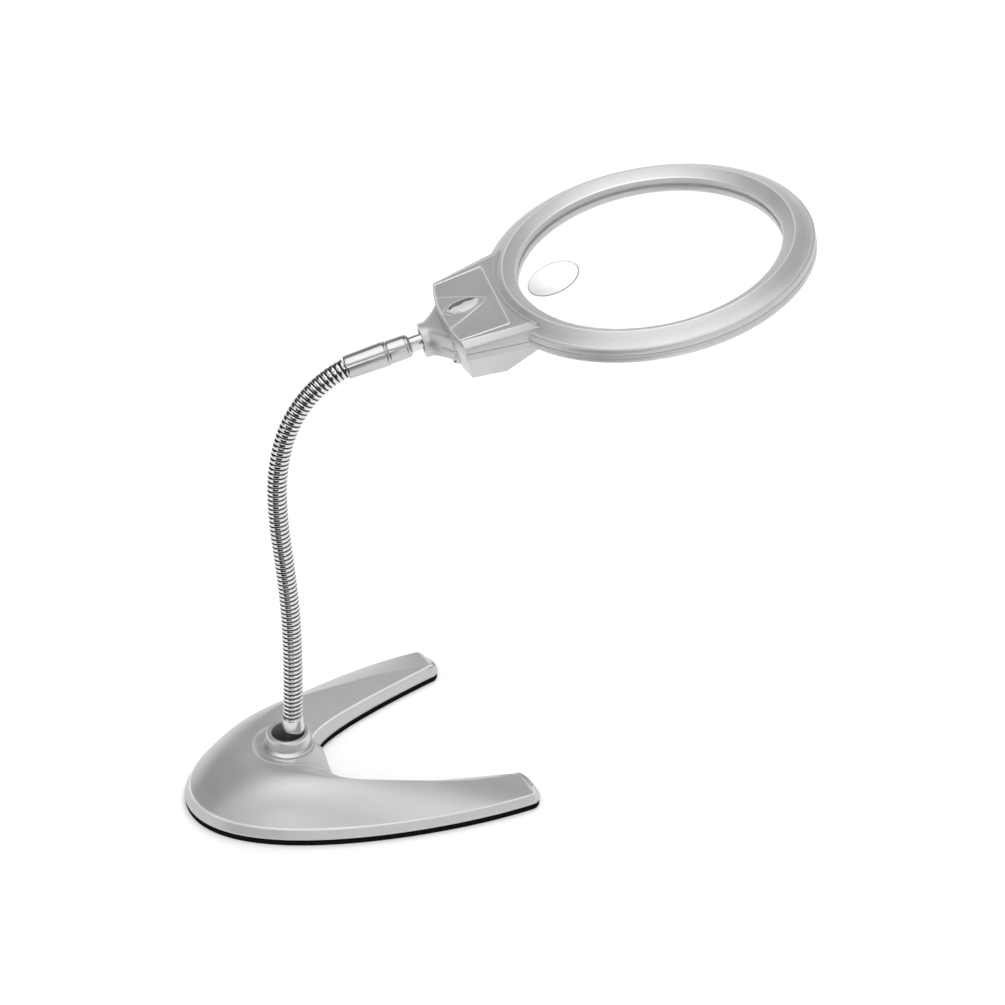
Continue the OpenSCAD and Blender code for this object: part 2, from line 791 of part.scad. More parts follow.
// ---- Cells, springs, contacts and wires
module cell(i) {
    flip_y = i == 0 ? 1 : -1;
    place_head() translate([cell_x[i], 0, cell_z]) rotate([90 * flip_y, 0, 0]) {
        color([0.2, 0.22, 0.25]) cylinder(r = cell_r, h = cell_len - 1, center = true);
        color([0.8, 0.8, 0.8]) translate([0, 0, cell_len / 2 - 0.5]) cylinder(r = 1.9, h = 0.9);
    }
}

spring_wire = 0.35;
spring_gap = bay_half_w - 0.4 - cell_len / 2 + 0.5;

module battery_springs() {
    turns = 3;
    color([0.8, 0.8, 0.78])
    place_head() for (i = [0, 1]) {
        side = i == 0 ? 1 : -1;
        translate([cell_x[i], side * (cell_len / 2 - 0.5), cell_z]) rotate([-90 * side, 0, 0])
            for (k = [0:turns - 1]) translate([0, 0, spring_wire + k * (spring_gap - 2 * spring_wire) / (turns - 1)])
                rotate_extrude($fn = 32) translate([2.2 + 0.35 * k, 0]) circle(r = spring_wire, $fn = 12);
    }
}

module battery_contacts() {
    contact_t = 0.4;
    color([0.82, 0.8, 0.7])
    place_head() {
        for (i = [0, 1]) for (side = [-1, 1])
            translate([cell_x[i] - 3.8, side * (bay_half_w - contact_t / 2) - contact_t / 2, cell_z - 3.6])
                cube([7.6, contact_t, 7.2]);
    }
}

wire_r = 0.5;
wire_x = [-82, -71];
wire_z = -5.4;

// A wire from a contact plate up to the edge of the LED board.
module wire(side) {
    place_head() {
        translate([wire_x[0], side * (bay_half_w - 1), -8.6]) cylinder(r = wire_r, h = wire_z + 8.6);
        translate([wire_x[0], side * (bay_half_w - 1), wire_z]) sphere(r = wire_r + 0.05);
        translate([wire_x[0], side * (bay_half_w - 1), wire_z]) rotate([0, 90, 0])
            cylinder(r = wire_r, h = wire_x[1] - wire_x[0]);
    }
}

module wire_red() {
    color([0.8, 0.1, 0.1]) wire(1);
}

module wire_black() {
    color([0.1, 0.1, 0.1]) wire(-1);
}

module head_screws() {
    color([0.6, 0.6, 0.62])
    place_head() for (a = rim_screw_angles) rotate([0, 0, a]) translate([screw_ring_r, 0, -8.8]) {
        translate([0, 0, -1.5]) difference() {
            cylinder(r = 2, h = 1.5);
            translate([0, 0, -eps]) cylinder(r = 0.8, h = 0.8, $fn = 6);
        }
        cylinder(r = rim_pilot_r - 0.05, h = 6);
    }
}

base_cover();
base_collar();
base_weight();
base_plate();
rubber_pad();
base_screws();
stud_washer();
stud_nut();
lower_ferrule();
gooseneck_stub();
gooseneck_link(1);  // gooseneck_link_1
gooseneck_link(2);  // gooseneck_link_2
gooseneck_link(3);  // gooseneck_link_3
gooseneck_link(4);  // gooseneck_link_4
gooseneck_link(5);  // gooseneck_link_5
gooseneck_link(6);  // gooseneck_link_6
gooseneck_link(7);  // gooseneck_link_7
gooseneck_end();
upper_ferrule();
swivel_pin();
pin_clip();
neck_bush();
head_top_shell();
head_bottom_shell();
lens();
badge();
switch_body();
switch_slider();
led_board();
led_lamp(1);  // led_left
led_lamp(-1);  // led_right
led_windows();
cell(0);  // battery_1
cell(1);  // battery_2
battery_door();
battery_springs();
battery_contacts();
wire_red();
wire_black();
head_screws();
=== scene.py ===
import math

import bmesh
import bpy
import numpy as np
from mathutils import Matrix, Vector


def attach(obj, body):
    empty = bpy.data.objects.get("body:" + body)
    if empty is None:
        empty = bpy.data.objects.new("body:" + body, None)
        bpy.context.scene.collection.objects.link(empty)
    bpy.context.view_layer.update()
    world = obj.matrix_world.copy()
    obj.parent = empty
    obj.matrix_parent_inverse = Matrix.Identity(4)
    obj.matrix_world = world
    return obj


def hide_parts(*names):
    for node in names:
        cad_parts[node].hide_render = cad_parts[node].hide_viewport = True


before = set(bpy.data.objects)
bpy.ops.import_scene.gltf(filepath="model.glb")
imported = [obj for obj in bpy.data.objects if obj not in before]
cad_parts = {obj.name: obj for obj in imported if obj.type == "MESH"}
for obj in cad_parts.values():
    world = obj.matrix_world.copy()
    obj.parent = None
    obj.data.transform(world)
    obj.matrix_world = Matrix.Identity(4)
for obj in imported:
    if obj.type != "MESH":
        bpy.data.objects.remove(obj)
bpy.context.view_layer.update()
scene = bpy.context.scene
MM = 0.001


# ---------------------------------------------------------------- small tools
def smooth(a, b, x):
    k = np.clip((np.asarray(x, float) - a) / (b - a), 0, 1)
    return k * k * (3 - 2 * k)


def soft_max(a, b, width):
    h = np.clip(0.5 + 0.5 * (a - b) / width, 0, 1)
    return b + (a - b) * h + width * h * (1 - h)


def rot_y(degrees):
    return Matrix.Rotation(math.radians(degrees), 4, "Y")


def grid_faces(rows, cols, close_rows=False, close_cols=False, flip=False, keep=None):
    i = np.arange(rows if close_rows else rows - 1)
    j = np.arange(cols if close_cols else cols - 1)
    i, j = np.meshgrid(i, j, indexing="ij")
    i2, j2 = (i + 1) % rows, (j + 1) % cols
    quads = np.stack([i * cols + j, i2 * cols + j, i2 * cols + j2, i * cols + j2], -1)
    quads = quads.reshape(-1, 4) if keep is None else quads[keep]
    return (quads[:, ::-1] if flip else quads).tolist()


def rounded(points, radius, steps=4, closed=False):
    """The polyline with each corner turned into a small curve."""
    pts = [np.array(p, float) for p in points]
    out = []
    for i, p in enumerate(pts):
        if not closed and i in (0, len(pts) - 1):
            out.append(p)
            continue
        a, b = pts[i - 1] - p, pts[(i + 1) % len(pts)] - p
        la, lb = np.linalg.norm(a), np.linalg.norm(b)
        start = p + a / la * min(radius, 0.45 * la)
        end = p + b / lb * min(radius, 0.45 * lb)
        for t in np.linspace(0, 1, steps + 1):
            out.append((1 - t) ** 2 * start + 2 * t * (1 - t) * p + t * t * end)
    return np.array(out)


def lathe(profile, count=128, close=True):
    p = np.array(profile, float)
    a = np.linspace(0, 2 * math.pi, count, endpoint=False)
    v = np.stack(
        [p[:, None, 0] * np.cos(a), p[:, None, 0] * np.sin(a), p[:, None, 1] + 0 * a], -1
    )
    return v.reshape(-1, 3), grid_faces(len(p), count, close_rows=close, close_cols=True)


def make(name, verts, faces, look, slot, body=None, stands_for=(), place=None,
         angle=38, thick=0.0, solid=True, marks=None):
    """A finished piece, from millimetres in its own frame to metres in the shared frame."""
    mesh = bpy.data.meshes.new(name)
    mesh.from_pydata(np.asarray(verts, float).tolist(), [], faces)
    for mark, values in (marks or {}).items():
        layer = mesh.attributes.new(mark, "FLOAT", "POINT")
        layer.data.foreach_set("value", np.asarray(values, np.float32).ravel())
    work = bmesh.new()
    work.from_mesh(mesh)
    bmesh.ops.remove_doubles(work, verts=work.verts, dist=0.0005)
    bmesh.ops.dissolve_degenerate(work, edges=work.edges, dist=0.0001)
    if solid:
        bmesh.ops.recalc_face_normals(work, faces=work.faces)
    work.to_mesh(mesh)
    work.free()
    mesh.transform(Matrix.Scale(MM, 4) @ (place or Matrix.Identity(4)))
    mesh.polygons.foreach_set("use_smooth", [True] * len(mesh.polygons))
    mesh.set_sharp_from_angle(angle=math.radians(angle))
    mesh.materials.append(look)
    obj = bpy.data.objects.new(name, mesh)
    scene.collection.objects.link(obj)
    if thick:
        wall = obj.modifiers.new("wall", "SOLIDIFY")
        wall.thickness = thick * MM
        wall.offset = -1
    if stands_for:
        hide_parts(*stands_for)
    if body:
        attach(obj, body)
    return obj


# ---------------------------------------------------------------- materials
# near-white for painted highlights along ridges and edges, and for the badge's painted reflection
HIGHLIGHT_COLOUR = (0.97, 0.975, 0.98, 1)
# near-black painted shade for the coil's grooves and the balls in its bends
COIL_SHADE = (0.012, 0.012, 0.012, 1)
LENS_IOR = 1.1
LENS_SHADE = (0.16, 0.16, 0.165, 1)
GRAIN_DEPTH = 0.0004
STREAK_DEPTH = 0.0003


def node(tree, kind, **values):
    n = tree.nodes.new(kind)
    for key, value in values.items():
        if key in n.inputs.keys():
            n.inputs[key].default_value = value
        else:
            setattr(n, key, value)
    return n


def noise(tree, coords, scale, detail=4.0, stretch=None):
    """A noise texture over the piece; stretch draws it out into streaks."""
    source = coords
    if stretch:
        mapping = node(tree, "ShaderNodeMapping")
        mapping.inputs["Scale"].default_value = stretch
        tree.links.new(coords, mapping.inputs["Vector"])
        source = mapping.outputs["Vector"]
    n = node(tree, "ShaderNodeTexNoise", Scale=scale, Detail=detail, Roughness=0.55)
    tree.links.new(source, n.inputs["Vector"])
    return n.outputs["Fac"]


def ranged(tree, value, low, high, to_low, to_high):
    n = node(tree, "ShaderNodeMapRange")
    for key, number in (("From Min", low), ("From Max", high), ("To Min", to_low), ("To Max", to_high)):
        n.inputs[key].default_value = number
    tree.links.new(value, n.inputs["Value"])
    return n.outputs["Result"]


def surface(name, colour, metal=0.0, rough=0.4, rough_change=0.08, patch=60.0, shade=0.06,
            grain=2500.0, bump=0.03, streaks=None, streak_bump=0.0, coat=0.0, wear_and_highlight=0.0,
            glow=0.0, specular=0.5, crest=0.0):
    """A painted, plated or moulded surface with patches, grain, handling marks, and sharp edges lightened
    partly as wear and partly as a painted highlight.

    crest is how far the piece's crest attribute, 1 along a ridge, an edge or a lit patch, brightens it: a
    painted highlight."""
    made = bpy.data.materials.new(name)
    made.use_nodes = True
    tree = made.node_tree
    shader = tree.nodes["Principled BSDF"]
    coords = node(tree, "ShaderNodeTexCoord").outputs["Object"]
    cloud = noise(tree, coords, patch, 5)
    fine = noise(tree, coords, grain, 3)
    wipe = noise(tree, coords, patch * 3, 6, stretch=(1, 5, 1))

    tint = node(tree, "ShaderNodeMix", data_type="RGBA", blend_type="MULTIPLY")
    tint.inputs["Factor"].default_value = 1.0
    tint.inputs["A"].default_value = (*colour, 1)
    value = node(tree, "ShaderNodeCombineColor")
    level = ranged(tree, cloud, 0.3, 0.7, 1 - shade, 1 + shade * 0.3)
    for channel in ("Red", "Green", "Blue"):
        tree.links.new(level, value.inputs[channel])
    tree.links.new(value.outputs["Color"], tint.inputs["B"])
    base = tint.outputs["Result"]
    # sharp edges lightened by pointiness: partly wear, partly a painted edge highlight
    if wear_and_highlight:
        edge = node(tree, "ShaderNodeNewGeometry").outputs["Pointiness"]
        mask = ranged(tree, edge, 0.53, 0.62, 0.0, wear_and_highlight)
        edge_lightening = node(tree, "ShaderNodeMix", data_type="RGBA")
        edge_lightening.inputs["B"].default_value = (*[min(1, c * 1.35 + 0.05) for c in colour], 1)
        tree.links.new(mask, edge_lightening.inputs["Factor"])
        tree.links.new(base, edge_lightening.inputs["A"])
        base = edge_lightening.outputs["Result"]
    # painted highlight: the crest attribute mixes the colour toward near-white
    if crest:
        mark = node(tree, "ShaderNodeAttribute", attribute_name="crest").outputs["Fac"]
        bright = node(tree, "ShaderNodeMix", data_type="RGBA")
        bright.inputs["B"].default_value = HIGHLIGHT_COLOUR
        tree.links.new(ranged(tree, mark, 0, 1, 0, crest), bright.inputs["Factor"])
        tree.links.new(base, bright.inputs["A"])
        base = bright.outputs["Result"]
    tree.links.new(base, shader.inputs["Base Color"])

    first = ranged(tree, cloud, 0.3, 0.7, rough - rough_change, rough + rough_change)
    second = ranged(tree, wipe, 0.45, 0.75, 0.0, rough_change)
    total = node(tree, "ShaderNodeMath", operation="ADD", use_clamp=True)
    tree.links.new(first, total.inputs[0])
    tree.links.new(second, total.inputs[1])
    tree.links.new(total.outputs[0], shader.inputs["Roughness"])

    relief = node(tree, "ShaderNodeBump", Strength=bump)
    relief.inputs["Distance"].default_value = GRAIN_DEPTH
    tree.links.new(fine, relief.inputs["Height"])
    normal = relief.outputs["Normal"]
    if streaks:
        lines = noise(tree, coords, 900, 2, stretch=streaks)
        brushed = node(tree, "ShaderNodeBump", Strength=streak_bump)
        brushed.inputs["Distance"].default_value = STREAK_DEPTH
        tree.links.new(lines, brushed.inputs["Height"])
        tree.links.new(normal, brushed.inputs["Normal"])
        normal = brushed.outputs["Normal"]
    tree.links.new(normal, shader.inputs["Normal"])
    shader.inputs["Metallic"].default_value = metal
    shader.inputs["Specular IOR Level"].default_value = specular
    shader.inputs["Coat Weight"].default_value = coat
    shader.inputs["Coat Roughness"].default_value = 0.18
    if glow:
        shader.inputs["Emission Color"].default_value = (*colour, 1)
        shader.inputs["Emission Strength"].default_value = glow
    return made


def glass(name, tint, rough):
    """Clear acrylic with a trace of dust and fine wipe marks; its shadow stays light.

    The shade attribute paints shade on the spot lens, darkest round its foot, in place of its refraction;
    the milk attribute mixes the flange under the frame toward a light diffuse grey, painted light over the
    dark gap under the lip."""
    made = bpy.data.materials.new(name)
    made.use_nodes = True
    tree = made.node_tree
    tree.nodes.remove(tree.nodes["Principled BSDF"])
    coords = node(tree, "ShaderNodeTexCoord").outputs["Object"]
    clear = node(tree, "ShaderNodeBsdfGlass", IOR=LENS_IOR, Color=(*tint, 1))
    shade = node(tree, "ShaderNodeAttribute", attribute_name="shade").outputs["Fac"]
    toned = node(tree, "ShaderNodeMix", data_type="RGBA")
    toned.inputs["A"].default_value = (*tint, 1)
    toned.inputs["B"].default_value = LENS_SHADE
    tree.links.new(shade, toned.inputs["Factor"])
    tree.links.new(toned.outputs["Result"], clear.inputs["Color"])
    wipe = noise(tree, coords, 35, 5, stretch=(1, 3, 1))
    tree.links.new(ranged(tree, wipe, 0.5, 0.8, rough, rough + 0.02), clear.inputs["Roughness"])
    relief = node(tree, "ShaderNodeBump", Strength=0.004)
    tree.links.new(noise(tree, coords, 160, 2), relief.inputs["Height"])
    tree.links.new(relief.outputs["Normal"], clear.inputs["Normal"])
    dust = node(tree, "ShaderNodeBsdfDiffuse", Color=(0.9, 0.9, 0.9, 1))
    dusted = node(tree, "ShaderNodeMixShader")
    tree.links.new(ranged(tree, noise(tree, coords, 700, 6), 0.62, 0.85, 0.0, 0.04), dusted.inputs[0])
    tree.links.new(clear.outputs[0], dusted.inputs[1])
    tree.links.new(dust.outputs[0], dusted.inputs[2])
    # painted light: the flange rows under the frame are mixed toward light diffuse grey, so the gap under
    # the lip shows light
    flange_lightened = node(tree, "ShaderNodeMixShader")
    tree.links.new(node(tree, "ShaderNodeAttribute", attribute_name="flange_light").outputs["Fac"], flange_lightened.inputs[0])
    tree.links.new(dusted.outputs[0], flange_lightened.inputs[1])
    tree.links.new(dust.outputs[0], flange_lightened.inputs[2])
    through = node(tree, "ShaderNodeBsdfTransparent", Color=(0.93, 0.93, 0.93, 1))
    path = node(tree, "ShaderNodeLightPath")
    mixed = node(tree, "ShaderNodeMixShader")
    tree.links.new(path.outputs["Is Shadow Ray"], mixed.inputs[0])
    tree.links.new(flange_lightened.outputs[0], mixed.inputs[1])
    tree.links.new(through.outputs[0], mixed.inputs[2])
    tree.links.new(mixed.outputs[0], tree.nodes["Material Output"].inputs["Surface"])
    return made


LOOKS = {
    "silver_plastic": surface("silver_plastic", (0.56, 0.564, 0.567), 0.65, 0.4, 0.05, 45, 0.05,
                              grain=5200, bump=0.05, coat=0.12, wear_and_highlight=0.25, crest=0.85),
    "chrome": surface("chrome", (0.66, 0.665, 0.67), 1.0, 0.12, 0.04, 70, 0.04, grain=3000,
                      bump=0.012, wear_and_highlight=0.1),
    # a dark colour, made bright by the crest mark: the badge's painted reflection
    "badge_chrome": surface("badge_chrome", (0.2, 0.202, 0.205), 0.6, 0.34, 0.06, 90, 0.05, crest=0.97,
                            grain=4000, bump=0.03, streaks=(1, 30, 1), streak_bump=0.04),
    "black_rubber": surface("black_rubber", (0.004, 0.004, 0.004), 0.0, 0.85, 0.1, 80, 0.3,
                            grain=1800, bump=0.25, specular=0.06),
    "cast_iron": surface("cast_iron", (0.07, 0.07, 0.075), 0.6, 0.62, 0.1, 90, 0.25,
                         grain=900, bump=0.6, wear_and_highlight=0.3),
    "zinc_steel": surface("zinc_steel", (0.55, 0.56, 0.58), 1.0, 0.34, 0.12, 110, 0.15,
                          grain=2600, bump=0.08, wear_and_highlight=0.2),
    "white_nylon": surface("white_nylon", (0.78, 0.77, 0.73), 0.0, 0.5, 0.06, 90, 0.05,
                           grain=2200, bump=0.06),
    "black_plastic": surface("black_plastic", (0.018, 0.018, 0.019), 0.0, 0.45, 0.1, 90, 0.2,
                             grain=2600, bump=0.15, wear_and_highlight=0.3),
    "green_board": surface("green_board", (0.012, 0.13, 0.05), 0.0, 0.35, 0.06, 160, 0.3,
                           grain=1500, bump=0.2, streaks=(1, 14, 1), streak_bump=0.4, coat=0.4),
    "led_resin": surface("led_resin", (0.92, 0.88, 0.62), 0.0, 0.2, 0.05, 200, 0.1, grain=2000,
                         bump=0.03, coat=0.5, glow=0.15),
    "cell_jacket": surface("cell_jacket", (0.02, 0.045, 0.12), 0.1, 0.28, 0.06, 90, 0.12,
                           grain=2500, bump=0.04, coat=0.5, wear_and_highlight=0.3),
    "nickel_contact": surface("nickel_contact", (0.68, 0.66, 0.6), 1.0, 0.25, 0.1, 120, 0.12,
                              grain=2400, bump=0.06),
    "red_wire": surface("red_wire", (0.42, 0.018, 0.014), 0.0, 0.42, 0.07, 150, 0.1,
                        grain=2200, bump=0.06),
    "black_wire": surface("black_wire", (0.016, 0.016, 0.016), 0.0, 0.42, 0.07, 150, 0.15,
                          grain=2200, bump=0.06),
    "clear_lens": glass("clear_lens", (0.962, 0.966, 0.967), 0.0),
}
brushed_chrome = surface("brushed_chrome", (0.56, 0.565, 0.57), 1.0, 0.2, 0.015, 70, 0.03,
                         grain=3000, bump=0.004, streaks=(1, 1, 26), streak_bump=0.006)
ring_chrome = surface("ring_chrome", (0.74, 0.745, 0.75), 1.0, 0.13, 0.04, 70, 0.04, grain=3000,
                      bump=0.012)

# painted shade: the coil's grooves, marked 1 in the groove attribute, and the balls in its bends are
# darkened to near-black
groove_tree = ring_chrome.node_tree
groove_shader = groove_tree.nodes["Principled BSDF"]
groove = node(groove_tree, "ShaderNodeAttribute", attribute_name="groove").outputs["Fac"]
coil_shading = node(groove_tree, "ShaderNodeMix", data_type="RGBA")
coil_shading.inputs["B"].default_value = COIL_SHADE
groove_tree.links.new(groove, coil_shading.inputs["Factor"])
clean = groove_shader.inputs["Base Color"].links[0].from_socket
groove_tree.links.new(clean, coil_shading.inputs["A"])
groove_tree.links.new(coil_shading.outputs["Result"], groove_shader.inputs["Base Color"])
satin_chrome = surface("satin_chrome", (0.68, 0.685, 0.69), 0.9, 0.34, 0.05, 60, 0.05, grain=3500,
                       bump=0.03, wear_and_highlight=0.1)
# painted shade: a darker grey for the inside of the collar's bore and the well's floor
painted_bore_shade = surface("painted_bore_shade", (0.36, 0.362, 0.365), 0.3, 0.55, 0.08, 90, 0.2,
                    grain=1500, bump=0.1, specular=0.1)

# ---------------------------------------------------------------- camera, light, floor
look_at = Vector((0.1173, 0.0323, 0.1293))
CAMERA_AWAY = 1.5
tilt, turn = math.radians(32), math.radians(14)
level_reach = math.cos(tilt)
forward = Vector((math.sin(turn) * level_reach, math.cos(turn) * level_reach, -math.sin(tilt)))
camera_data = bpy.data.cameras.new("camera")
camera_data.lens = 108.9
camera_data.sensor_width = 36
camera_data.clip_start = 0.05
camera = bpy.data.objects.new("camera", camera_data)
camera.location = look_at - forward * CAMERA_AWAY
camera.rotation_euler = forward.to_track_quat("-Z", "Y").to_euler()
scene.collection.objects.link(camera)
scene.camera = camera

scene.view_settings.view_transform = "Standard"
scene.view_settings.look = "None"
scene.view_settings.exposure = 0.0

# the surroundings: white at floor level, greyer overhead, dimmer behind the object
world = bpy.data.worlds.new("studio")
scene.world = world
world.use_nodes = True
tree = world.node_tree
background = tree.nodes["Background"]
direction = node(tree, "ShaderNodeTexCoord").outputs["Generated"]
split = node(tree, "ShaderNodeSeparateXYZ")
tree.links.new(direction, split.inputs[0])
height = ranged(tree, split.outputs["Z"], -1, 1, 0, 1)
ramp = node(tree, "ShaderNodeValToRGB")
tree.links.new(height, ramp.inputs["Fac"])
stops = [(0.0, 1.0), (0.5, 1.0), (0.57, 1.0), (0.64, 0.95), (0.73, 0.66), (0.86, 0.42), (1.0, 0.6)]
while len(ramp.color_ramp.elements) < len(stops):
    ramp.color_ramp.elements.new(0.5)
for element, (at, level) in zip(ramp.color_ramp.elements, stops):
    element.position = at
    element.color = (level, level, level, 1)
behind = ranged(tree, split.outputs["Y"], -0.1, 0.55, 1.0, 0.5)
raised = ranged(tree, split.outputs["Z"], 0.14, 0.34, 0.0, 1.0)
dimmed = node(tree, "ShaderNodeMix", data_type="FLOAT")
dimmed.inputs["A"].default_value = 1.0
tree.links.new(raised, dimmed.inputs["Factor"])
tree.links.new(behind, dimmed.inputs["B"])
scaled = node(tree, "ShaderNodeVectorMath", operation="SCALE")
tree.links.new(ramp.outputs["Color"], scaled.inputs[0])
tree.links.new(dimmed.outputs["Result"], scaled.inputs["Scale"])
tree.links.new(scaled.outputs["Vector"], background.inputs["Color"])
background.inputs["Strength"].default_value = 1.06


def area(name, place, aim, size, power):
    data = bpy.data.lights.new(name, "AREA")
    data.shape = "RECTANGLE"
    data.size, data.size_y = size
    data.energy = power
    lamp = bpy.data.objects.new(name, data)
    lamp.location = place
    lamp.rotation_euler = (Vector(aim) - Vector(place)).to_track_quat("-Z", "Y").to_euler()
    scene.collection.objects.link(lamp)
    return lamp


area("overhead", (-0.15, -0.25, 2.3), (0.05, 0, 0), (2.6, 2.2), 20)
area("back", (0.9, 1.3, 1.9), (0.05, 0, 0), (1.3, 1.3), 20).visible_glossy = False
area("front", (-0.9, -2.0, 1.1), (0.1, 0, 0.1), (1.2, 0.9), 8)

floor_look = surface("studio_floor", (0.86, 0.86, 0.86), 0.0, 0.8, 0.03, 3, 0.004, grain=300,
                     bump=0.01, specular=0.0, glow=0.2)
floor_outline = [(-4, -4), (4, -4), (4, 7), (-4, 7)]
floor_mesh = bpy.data.meshes.new("floor")
floor_mesh.from_pydata([(x, y, 0) for x, y in floor_outline], [], [list(range(len(floor_outline)))])
floor_mesh.materials.append(floor_look)
floor = bpy.data.objects.new("floor", floor_mesh)
scene.collection.objects.link(floor)

# dark studio flags, seen only in reflections, that give the plated parts their dark bands;
# rays through the lens pass them by
flag_look = surface("flag_cloth", (0.012, 0.012, 0.012), 0.0, 0.9, 0.03, 6, 0.1, grain=200,
                    bump=0.05, specular=0.0)
flag_tree = flag_look.node_tree
unseen = node(flag_tree, "ShaderNodeBsdfTransparent")
either = node(flag_tree, "ShaderNodeMixShader")
through_lens = node(flag_tree, "ShaderNodeLightPath").outputs["Is Transmission Ray"]
flag_tree.links.new(through_lens, either.inputs[0])
flag_tree.links.new(flag_tree.nodes["Principled BSDF"].outputs[0], either.inputs[1])
flag_tree.links.new(unseen.outputs[0], either.inputs[2])
flag_tree.links.new(either.outputs[0], flag_tree.nodes["Material Output"].inputs["Surface"])


def flag(name, corners):
    mesh = bpy.data.meshes.new(name)
    mesh.from_pydata(corners, [], [list(range(len(corners)))])
    mesh.materials.append(flag_look)
    card = bpy.data.objects.new(name, mesh)
    scene.collection.objects.link(card)
    card.visible_camera = False
    card.visible_diffuse = False
    card.visible_transmission = False
    card.visible_shadow = False


def polar(azimuth, distance, level):
    """A point seen from the gooseneck: azimuth runs from the camera's side, positive to its right."""
    a = math.radians(azimuth) - turn
    return math.sin(a) * distance, -math.cos(a) * distance, level


flag("flag_front", [polar(-48, 0.12, 0.002), polar(-5, 0.15, 0.002), polar(16, 0.14, 0.002),
                    polar(16, 2.5, 0.002), polar(-48, 2.5, 0.002)])
flag("flag_tall", [polar(-50, 2.1, 0.0), polar(14, 2.1, 0.0), polar(14, 2.1, 1.0), polar(-50, 2.1, 1.0)])
flag("flag_left", [(-1.9, 0.1, 0.3), (-0.8, 1.7, 0.3), (-0.8, 1.7, 1.9), (-1.9, 0.1, 1.9)])

# ---------------------------------------------------------------- base
BASE_PLACE = Matrix.Rotation(math.radians(12), 4, "Z")
OUTER = np.array([(-53.5, 0), (-53.5, 51.4), (52.7, 72.5), (100.5, 71)], float)
INNER = np.array([(21, 0), (21, 11), (2.2, 23), (100.5, 49)], float)
TIP_LEN = 7.0
PAD_TOP = 3.6
SKIRT_INSET = 0.05
RIDGE_INSET = 2.8
RIDGE_EASE = 0.16
RIDGE_Z = 8.6
INNER_RIDGE_Z = 9.4
CREST_Z = 26.3
CREST_FALL = 17.4
TIP_DROP = 3.0
COLLAR_SEAT_Z = 25.3
COLLAR_SEAT_R = 13
COLLAR_HOLE_R = 11.4
DISH_R = 17.3
DISH_DEEP = 1.2
BASE_WALL = 1.6


def bezier(p, t):
    t = np.asarray(t, float)[..., None]
    start, end = (1 - t) ** 3 * p[0], t ** 3 * p[3]
    return start + 3 * (1 - t) ** 2 * t * p[1] + 3 * (1 - t) * t * t * p[2] + end


def base_rows(inset_a, inset_b, along, tip_turn):
    """Points of the outer and inner edges, set in by so much, round one half of the U."""
    a, b = bezier(OUTER, along), bezier(INNER, along)
    across = (b - a) / np.linalg.norm(b - a, axis=1)[:, None]
    a, b = a + across * inset_a, b - across * inset_b
    middle = (OUTER[3] + INNER[3]) / 2
    c, s = np.cos(tip_turn)[:, None], np.sin(tip_turn)[:, None]
    reach = np.array([1.0, 0.0])
    tip_a = middle + (a[-1] - middle) * c + reach * (TIP_LEN - inset_a) * s
    tip_b = middle + (b[-1] - middle) * c + reach * (TIP_LEN - inset_b) * s
    return np.vstack([a, tip_a]), np.vstack([b, tip_b])


def mirrored(half):
    """Both halves of the U, from one tip round the back to the other: half is (station, across, xyz)."""
    other = half[:0:-1].copy()
    other[..., 1] *= -1
    return np.concatenate([other, half])


along = np.linspace(0, 1, 130)
tip_turn = np.linspace(0, math.pi / 2, 18)[1:]


def base_top(stations, squeeze):
    """How far across the top's columns stand, and their heights, up from the outer ridge and down."""
    leg = np.minimum(stations, 1)
    outer_z = RIDGE_Z - 0.8 * leg + 0 * stations
    inner_z = INNER_RIDGE_Z + 1.6 * smooth(0, 0.35, stations) - 1.4 * smooth(0.5, 1, stations)
    drop = TIP_DROP * np.maximum(stations - 1, 0) ** 2
    crest_k = (0.5 + 0.06 * (1 - smooth(0, 0.3, stations)) + 0.15 * smooth(0.35, 0.85, stations)
               + 0.33 * smooth(0.8, 1.05, stations) ** 1.5)
    crest_z = CREST_Z - CREST_FALL * (np.maximum(leg - 0.3, 0) / 0.7) ** 1.58
    swell = 0.9 - 0.6 * smooth(0.2, 0.7, stations)
    up = np.linspace(0, 1, 52)[None, :]
    down = np.linspace(0, 1, 72)[None, 1:]
    up_z = outer_z + (crest_z - outer_z) * (up + swell * (up - up ** 2))
    down_power = 2.2 - 1.15 * smooth(0.1, 0.6, stations)
    down_z = inner_z + (crest_z - inner_z) * (1 - down ** down_power)
    top_k = np.concatenate([up * crest_k, crest_k + down * (1 - crest_k)], 1)
    top_z = np.concatenate([up_z, down_z], 1) - drop
    return top_k, RIDGE_Z - drop + (top_z - RIDGE_Z + drop) * squeeze


